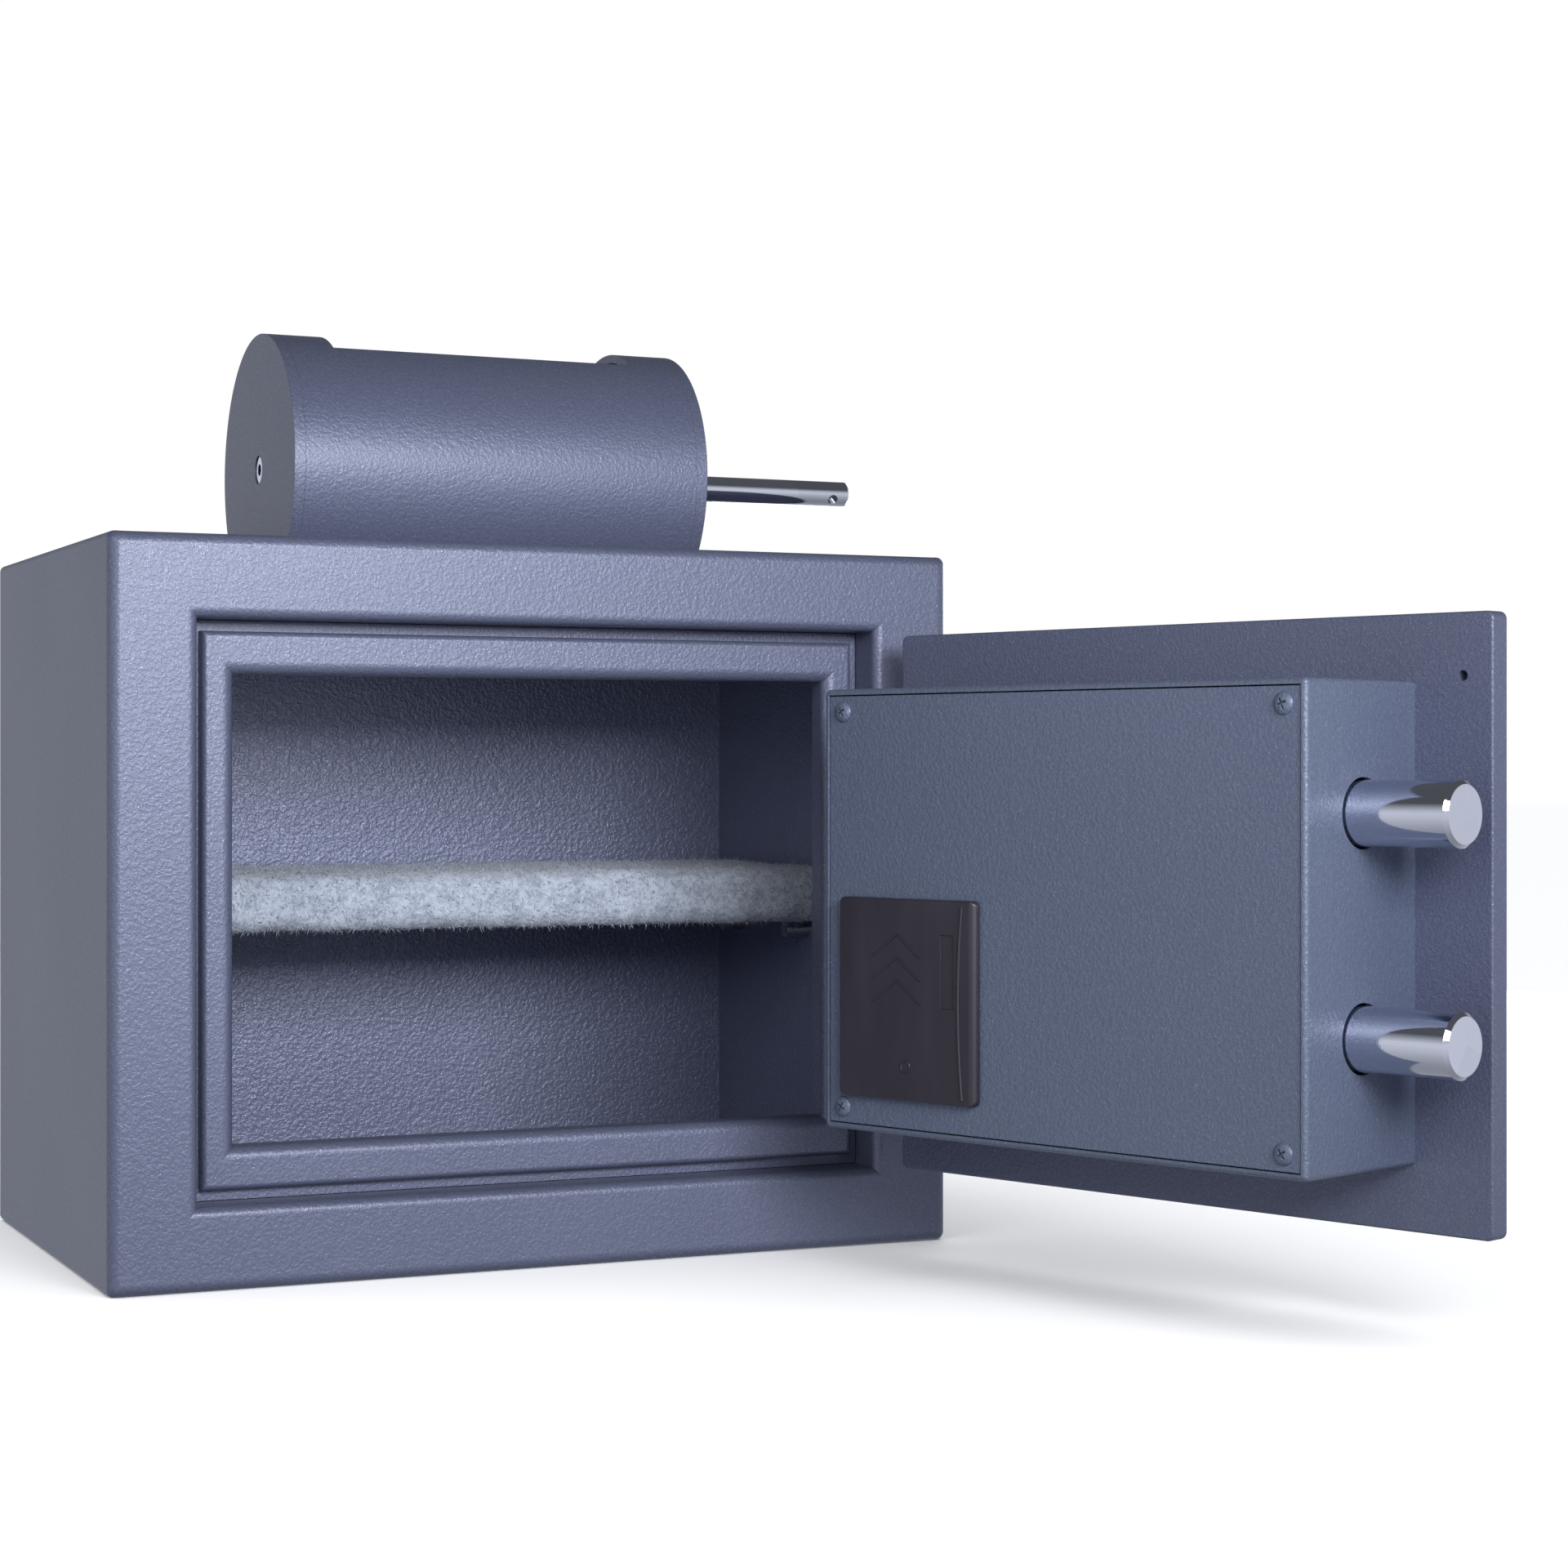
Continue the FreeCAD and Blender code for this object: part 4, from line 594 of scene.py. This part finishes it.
def makeCoverScrews():
    seat = closedBox("casing_cover")[1].y                  # the cover's face, towards the inside of the safe
    facing = Matrix.Rotation(-math.pi / 2, 4, "X")         # a screw stands on +Z, here it points to +Y
    points = []
    for centre in solidCentres("cover_screws"):
        points.append(facing.inverted() @ Vector((centre.x, seat, centre.z)))
    piece = grow("coverScrews", newMesh("screwSpots", points, []), screwRecipe(), doorTurn @ facing)
    finishPiece(piece, "door", finishes["casing_coat"], smooth=False)
    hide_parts("cover_screws")


makeCoverScrews()
print("cover screws made")


# Round bars along a line: ribs, rings and marks.

def ribMesh(name, lines, radius, closed=False, sides=3):
    curve = bpy.data.curves.new(name, "CURVE")
    curve.dimensions = "3D"
    curve.bevel_depth = radius
    curve.bevel_resolution = sides
    curve.use_fill_caps = True
    for points in lines:
        spline = curve.splines.new("POLY")
        spline.points.add(len(points) - 1)
        for spot, point in zip(spline.points, points):
            spot.co = (*point, 1.0)
        spline.use_cyclic_u = closed
    return takeMesh(newObject(name, curve))


coverMarks = {"chevronWide": 0.026, "chevronRise": 0.009, "chevrons": 3, "chevronPitch": 0.0095,
              "across": 0.44, "up": 0.60, "rib": 0.00055, "ringRadius": 0.0024, "ringUp": 0.17,
              "ringAcross": 0.50, "ringSteps": 28, "ringRib": 0.7, "gripInset": 0.0085, "gripBow": 0.0022,
              "gripEnds": 0.0022, "gripSteps": 24, "gripRib": 1.3}


def coverMark(name, lines, ribShare=1.0, closed=False):
    mesh = ribMesh(name, lines, coverMarks["rib"] * ribShare, closed)
    mesh.transform(doorTurn)
    finishPiece(newObject(name, mesh), "battery_cover", finishes["gloss_black"])


def makeCoverMarks():
    low, high = closedBox("battery_cover")
    face = high.y
    lines = []
    middle = low.x + (high.x - low.x) * (1 - coverMarks["across"])
    base = low.z + (high.z - low.z) * coverMarks["up"] - coverMarks["chevronPitch"]
    half = coverMarks["chevronWide"] / 2
    for step in range(coverMarks["chevrons"]):
        foot = base + step * coverMarks["chevronPitch"]
        lines.append([(middle - half, face, foot), (middle, face, foot + coverMarks["chevronRise"]),
                      (middle + half, face, foot)])
    coverMark("coverChevrons", lines)
    radius = coverMarks["ringRadius"]
    centreX = low.x + (high.x - low.x) * coverMarks["ringAcross"]
    centreZ = low.z + (high.z - low.z) * coverMarks["ringUp"]
    ring = []
    for step in range(coverMarks["ringSteps"]):
        angle = 2 * math.pi * step / coverMarks["ringSteps"]
        ring.append((centreX + radius * math.cos(angle), face, centreZ + radius * math.sin(angle)))
    coverMark("coverRing", [ring], coverMarks["ringRib"], closed=True)
    grip = []
    for step in range(coverMarks["gripSteps"] + 1):        # a bowed edge to push against
        share = step / coverMarks["gripSteps"]
        bow = 1 - (2 * share - 1) ** 2
        foot = low.z + coverMarks["gripEnds"]
        grip.append((low.x + coverMarks["gripInset"] - coverMarks["gripBow"] * (1 - bow), face,
                     foot + (high.z - coverMarks["gripEnds"] - foot) * share))
    coverMark("coverGrip", [grip], coverMarks["gripRib"])


makeCoverMarks()
print("battery cover marks made")


# Keypad: raised keys with their digits, and two lights.

keys = {"Key width": 0.0145, "Key height": 0.0115, "Corner": 0.0028, "Rise": 0.0012, "Columns": 3,
        "Rows": 4, "Pitch across": 0.0178, "Pitch up": 0.0150}


def keyRecipe():
    recipe = Recipe("keys", keys)
    outline = recipe.node("GeometryNodeCurvePrimitiveQuadrilateral", {"mode": "RECTANGLE"}, {
        "Width": recipe.ask("Key width"), "Height": recipe.ask("Key height")})
    outline = recipe.node("GeometryNodeFilletCurve", {"mode": "POLY"}, {
        "Curve": outline, "Count": 6, "Radius": recipe.ask("Corner")})
    face = recipe.node("GeometryNodeFillCurve", {"mode": "NGONS"}, {"Curve": outline})
    wall = recipe.node("GeometryNodeExtrudeMesh", {"mode": "FACES"}, {
        "Mesh": face, "Offset Scale": recipe.ask("Rise") * 0.75, "Individual": False}, "Mesh")
    top = Signal(recipe, wall.socket.node.outputs["Top"])
    crown = recipe.node("GeometryNodeExtrudeMesh", {"mode": "FACES"}, {
        "Mesh": wall, "Selection": top, "Offset Scale": recipe.ask("Rise") * 0.25, "Individual": False},
        "Mesh")
    crest = Signal(recipe, crown.socket.node.outputs["Top"])
    shrunk = recipe.node("GeometryNodeScaleElements", {"domain": "FACE"}, {
        "Geometry": crown, "Selection": crest, "Scale": 0.93})
    grid = recipe.node("GeometryNodeMeshGrid", {}, {
        "Size X": recipe.ask("Pitch across") * (recipe.ask("Columns") - 1),
        "Size Y": recipe.ask("Pitch up") * (recipe.ask("Rows") - 1),
        "Vertices X": recipe.ask("Columns"), "Vertices Y": recipe.ask("Rows")}, "Mesh")
    placed = recipe.node("GeometryNodeInstanceOnPoints", {}, {"Points": grid, "Instance": shrunk})
    recipe.close(placed, finishes["key_rubber"])
    return recipe


keypadMarks = {"digits": "123456789C0E", "digitSize": 0.0068, "digitLift": 0.00006, "digitDepth": 0.00008,
               "lightRadius": 0.0017, "lightFlatness": 0.55, "lightApart": 0.014, "lightUp": 0.0075,
               "keysDown": 0.006, "lights": {"readyLight": (-1, display(60, 200, 90)),
                                             "warningLight": (1, display(220, 60, 48))}}


def textMesh(text, size):
    curve = bpy.data.curves.new("digit", "FONT")
    curve.body = text
    curve.size = size
    curve.align_x = "CENTER"
    curve.align_y = "CENTER"
    curve.extrude = keypadMarks["digitDepth"]
    return takeMesh(newObject("digit", curve))


def makeKeypad():
    low, high = closedBox("keypad_membrane")
    middle = Vector(((low.x + high.x) / 2, low.y, (low.z + high.z) / 2 - keypadMarks["keysDown"]))
    facing = Matrix.Translation(middle) @ Matrix.Rotation(math.pi / 2, 4, "X")   # +Z of the pad goes to -Y
    keyPiece = grow("keypadKeys", newMesh("keyBase", [], []), keyRecipe(), doorTurn @ facing)
    finishPiece(keyPiece, "door", finishes["key_rubber"], smooth=False)
    form = bmesh.new()
    for number, text in enumerate(keypadMarks["digits"]):
        column, row = number % 3, number // 3
        place = Matrix.Translation(((column - 1) * keys["Pitch across"], (1.5 - row) * keys["Pitch up"],
                                    keys["Rise"] + keypadMarks["digitLift"]))
        mesh = textMesh(text, keypadMarks["digitSize"])
        mesh.transform(facing @ place)
        form.from_mesh(mesh)
    digits = bpy.data.meshes.new("keypadDigits")
    form.transform(doorTurn)
    form.to_mesh(digits)
    form.free()
    finishPiece(newObject("keypadDigits", digits), "door", keyInk, smooth=False)
    for name, (side, colour) in keypadMarks["lights"].items():
        lens = bmesh.new()
        bmesh.ops.create_icosphere(lens, subdivisions=4, radius=keypadMarks["lightRadius"])
        spot = Vector((side * keypadMarks["lightApart"] / 2,
                       high.z - middle.z - keypadMarks["lightUp"], 0.0))
        flat = Matrix.Diagonal((1, 1, keypadMarks["lightFlatness"], 1))
        lens.transform(facing @ Matrix.Translation(spot) @ flat)
        lens.transform(doorTurn)
        mesh = bpy.data.meshes.new(name)
        lens.to_mesh(mesh)
        lens.free()
        finishPiece(newObject(name, mesh), "door", indicatorLens(name + "Lens", colour))


makeKeypad()
print("keypad made")


# Knob pointer: a flat inlaid bar on the knob's face.

pointer = {"start": 0.004, "end": 0.0155, "radius": 0.0009, "flat": 0.3}


def makePointer():
    low, high = closedBox("turn_knob")
    middle = (low + high) / 2
    points = [(0, 0, pointer["start"]), (0, 0, (pointer["start"] + pointer["end"]) / 2),
              (0, 0, pointer["end"])]
    mesh = ribMesh("knobPointer", [points], pointer["radius"], sides=4)
    mesh.transform(Matrix.Diagonal((1, pointer["flat"], 1, 1)))
    mesh.transform(Matrix.Translation((middle.x, low.y, middle.z)))
    mesh.transform(doorTurn)
    finishPiece(newObject("knobPointer", mesh), "knob", keyInk)


makePointer()
print("knob pointer made")


# Welds: overlapping ripples along a seam.

weld = {"Bead pitch": 0.0017, "Bead width": 0.0021, "Bead height": 0.0016, "Bead overlap": 0.95,
        "Unevenness": 0.22, "Seed": 12}
weldGap = 0.0004                                           # from the tube to the middle of the bead


def weldRecipe():
    recipe = Recipe("weld", weld)
    path = recipe.node("GeometryNodeMeshToCurve", {}, {"Mesh": recipe.ask("Geometry")})
    spots = recipe.node("GeometryNodeCurveToPoints", {"mode": "LENGTH"}, {
        "Curve": path, "Length": recipe.ask("Bead pitch")}, "Points")
    heading = Signal(recipe, spots.socket.node.outputs["Rotation"])
    ripple = recipe.node("GeometryNodeMeshIcoSphere", {}, {"Radius": 1.0, "Subdivisions": 2}, "Mesh")
    ripple = recipe.moved(ripple, scale=recipe.vector(
        recipe.ask("Bead width"), recipe.ask("Bead height"),
        recipe.ask("Bead pitch") * recipe.ask("Bead overlap")))
    spread = recipe.ask("Unevenness")
    size = recipe.node("FunctionNodeRandomValue", {"data_type": "FLOAT"}, {
        2: 1 - spread, 3: 1 + spread, "Seed": recipe.ask("Seed")}, 1)
    placed = recipe.node("GeometryNodeInstanceOnPoints", {}, {
        "Points": spots, "Instance": ripple, "Rotation": heading, "Scale": size})
    recipe.close(placed, finishes["body_coat"])
    return recipe


def seamMesh(name, runs):                                  # each run is a pair of end points
    points = [point for run in runs for point in run]
    edges = [(2 * number, 2 * number + 1) for number in range(len(runs))]
    return newMesh(name, points, [], edges)


def makeWelds():
    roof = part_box("outer_shell")[1].z
    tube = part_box("drum_housing")[1]                       # the tube's axis is over the middle of the roof
    radius = tube.y
    rise = tube.z - radius - roof
    foot = math.sqrt(radius ** 2 - rise ** 2) + weldGap
    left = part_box("housing_end_left")[0].x
    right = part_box("housing_end_right")[1].x
    runs = []
    for side in (-1, 1):
        runs.append(((left, side * foot, roof), (right, side * foot, roof)))
    for end in (left, right):
        runs.append(((end, -foot, roof), (end, foot, roof)))
    piece = grow("drumWelds", seamMesh("drumSeams", runs), weldRecipe())
    finishPiece(piece, "cabinet", finishes["body_coat"])


makeWelds()
print("welds made")


# Battery springs: coils in place of the plain contact blanks.

spring = {"Turns": 4.5, "Wire radius": 0.00035, "Foot radius": 0.0046, "Tip radius": 0.0026}
stud = {"foot": 0.0035, "tip": 0.0026, "edge": 0.0003, "sides": 28}


def springRecipe(height):
    inputs = {**spring, "Height": height}
    recipe = Recipe("spring", inputs)
    coil = recipe.node("GeometryNodeCurveSpiral", {}, {
        "Resolution": 20, "Rotations": recipe.ask("Turns"), "Start Radius": recipe.ask("Foot radius"),
        "End Radius": recipe.ask("Tip radius"), "Height": recipe.ask("Height")})
    section = recipe.node("GeometryNodeCurvePrimitiveCircle", {"mode": "RADIUS"}, {
        "Resolution": 7, "Radius": recipe.ask("Wire radius")})
    wire = recipe.node("GeometryNodeCurveToMesh", {}, {
        "Curve": coil, "Profile Curve": section, "Fill Caps": True})
    placed = recipe.node("GeometryNodeInstanceOnPoints", {}, {
        "Points": recipe.ask("Geometry"), "Instance": wire})
    recipe.close(placed, finishes["contact_nickel"])
    return recipe


def makeSprings():
    low, high = closedBox("battery_contacts")
    cellLow, cellHigh = closedBox("batteries")
    spots = [Vector((centre.x, centre.y, low.z)) for centre in solidCentres("batteries")]
    coils = springRecipe(cellLow.z - low.z)
    piece = grow("batterySprings", newMesh("springSpots", spots, []), coils, doorTurn)
    finishPiece(piece, "door", finishes["contact_nickel"])
    form = bmesh.new()
    for spot in spots:
        cone = bmesh.ops.create_cone(form, cap_ends=True, segments=stud["sides"], radius1=stud["foot"],
                                     radius2=stud["tip"], depth=high.z - cellHigh.z)
        bmesh.ops.translate(form, verts=cone["verts"], vec=(spot.x, spot.y, (high.z + cellHigh.z) / 2))
    bmesh.ops.bevel(form, geom=form.edges, offset=stud["edge"], segments=2, affect="EDGES")
    form.transform(doorTurn)
    mesh = bpy.data.meshes.new("batteryStuds")
    form.to_mesh(mesh)
    form.free()
    studs = finishPiece(newObject("batteryStuds", mesh), "door",
                        finishes["contact_nickel"], smooth=False)
    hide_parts("battery_contacts")
    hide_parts("battery_contacts")


makeSprings()
print("battery springs made")


# Floor, light and camera.

studio = {"floorSize": 30.0, "floorColour": (0.86, 0.87, 0.88), "floorShade": (0.82, 0.83, 0.85),
          "skyAbove": 0.05, "skyLevel": 0.36, "skyBelow": 0.12, "skyTint": (0.93, 0.96, 1.06),
          "mirrored": 2.0}


def makeFloor():
    half = studio["floorSize"] / 2
    mesh = newMesh("floor", [(-half, -half, 0), (half, -half, 0), (half, half, 0), (-half, half, 0)],
                   [[0, 1, 2, 3]])
    floor = newObject("floor", mesh)
    plain = Finish("floorPaint", {"Specular IOR Level": 0.1})
    shade = plain.noise(plain.place, 1.5, 2.0)
    colour = plain.mix(shade * 0.1, solid(studio["floorColour"]), solid(studio["floorShade"]))
    plain.feed(colour=colour, rough=0.85 + shade * 0.05)
    mesh.materials.append(plain.material)
    floor.visible_diffuse = False                          # the sky below stands in for its bounce
    floor.visible_glossy = False
    return floor


def makeSky():
    world = bpy.data.worlds.new("studio")
    scene.world = world
    world.use_nodes = True
    sky = NodeTree(world.node_tree)
    sky.tree.nodes.clear()
    direction = sky.node("ShaderNodeTexCoord", output="Generated")
    height = sky.node("ShaderNodeSeparateXYZ", {}, {0: direction}, "Z")
    tone = sky.node("ShaderNodeValToRGB", {"stops": [
        (0.0, studio["skyBelow"]), (0.45, studio["skyLevel"]), (0.55, studio["skyLevel"]),
        (0.75, studio["skyAbove"]), (1.0, studio["skyAbove"])]}, {"Fac": height * 0.5 + 0.5})
    tint = sky.mix(1.0, tone, solid(studio["skyTint"]), "MULTIPLY")
    mirrored = sky.node("ShaderNodeLightPath", output="Is Glossy Ray")
    seen = sky.node("ShaderNodeLightPath", output="Is Camera Ray")
    bright = sky.mix(1.0, tint, solid([studio["mirrored"]] * 3), "MULTIPLY")
    colour = sky.mix(seen, sky.mix(mirrored, tint, bright), solid((1.0, 1.0, 1.0)))
    backdrop = sky.node("ShaderNodeBackground", {}, {"Color": colour, "Strength": 1.0})
    sky.node("ShaderNodeOutputWorld", {}, {"Surface": backdrop})


lamps = {                 # place, what it points at, width, height, power, spread in degrees and colour
    "key": {"place": (0.0, -1.25, 0.52), "aim": (-0.06, -0.12, 0.245), "wide": 0.6, "high": 0.35,
            "power": 3.0, "spread": 80, "colour": (0.97, 0.97, 1.0)},
    "fill": {"place": (-1.30, -1.30, 0.95), "aim": (0.0, -0.1, 0.2), "wide": 0.9, "high": 0.9,
             "power": 5.8, "spread": 180, "colour": (1.0, 0.94, 0.88)},
    "back": {"place": (1.10, 1.30, 0.30), "aim": (0.1, 0.1, 0.20), "wide": 0.8, "high": 0.6,
             "power": 9.0, "spread": 180, "colour": (0.97, 0.98, 1.0)},
    "inside": {"place": (-0.05, -0.42, 0.24), "aim": (-0.10, 0.1, 0.22), "wide": 0.22, "high": 0.10,
               "power": 0.24, "spread": 180, "colour": (0.96, 0.97, 1.0)},
}
insideNodes = ["inner_liner", "rear_panel", "shelf_board", "shelf_studs"]
floorLamp = {"power": 3.4, "spread": 120, "tilt": (8, -6, 0)}   # lifts the floor to near white


def lightOnly(holder, name, lit):                          # the lamp reaches these objects and nothing else
    reached = bpy.data.collections.new(name)
    for piece in lit:
        reached.objects.link(piece)
    holder.light_linking.receiver_collection = reached


def makeLamps(floor):
    for name, lamp in lamps.items():
        light = bpy.data.lights.new(name, "AREA")
        light.shape = "RECTANGLE"
        light.size = lamp["wide"]
        light.size_y = lamp["high"]
        light.energy = lamp["power"]
        light.spread = math.radians(lamp["spread"])
        light.color = lamp["colour"]
        holder = newObject(name, light)
        holder.location = lamp["place"]
        holder.rotation_euler = (Vector(lamp["aim"]) - holder.location).to_track_quat("-Z", "Y").to_euler()
        if name == "inside":
            lightOnly(holder, "compartment", [nodes[node] for node in insideNodes])
    light = bpy.data.lights.new("floorLight", "SUN")
    light.energy = floorLamp["power"]
    light.angle = math.radians(floorLamp["spread"])
    holder = newObject("floorLight", light)
    holder.rotation_euler = [math.radians(angle) for angle in floorLamp["tilt"]]
    lightOnly(holder, "floorOnly", [floor])


cameraSetup = {"place": (-0.45281, -1.34620, 0.21208), "turn": 24.6, "lens": 69.9, "sensor": 36,
               "shiftUp": -0.0072, "near": 0.01, "far": 100}


def makeCamera():
    camera = bpy.data.cameras.new("camera")
    camera.lens = cameraSetup["lens"]
    camera.sensor_width = cameraSetup["sensor"]
    camera.shift_y = cameraSetup["shiftUp"]
    camera.clip_start = cameraSetup["near"]
    camera.clip_end = cameraSetup["far"]
    holder = newObject("camera", camera)
    holder.location = cameraSetup["place"]
    holder.rotation_euler = (math.pi / 2, 0, -math.radians(cameraSetup["turn"]))
    scene.camera = holder


makeSky()
makeLamps(makeFloor())
makeCamera()
scene.view_settings.view_transform = "Standard"
print("studio ready")
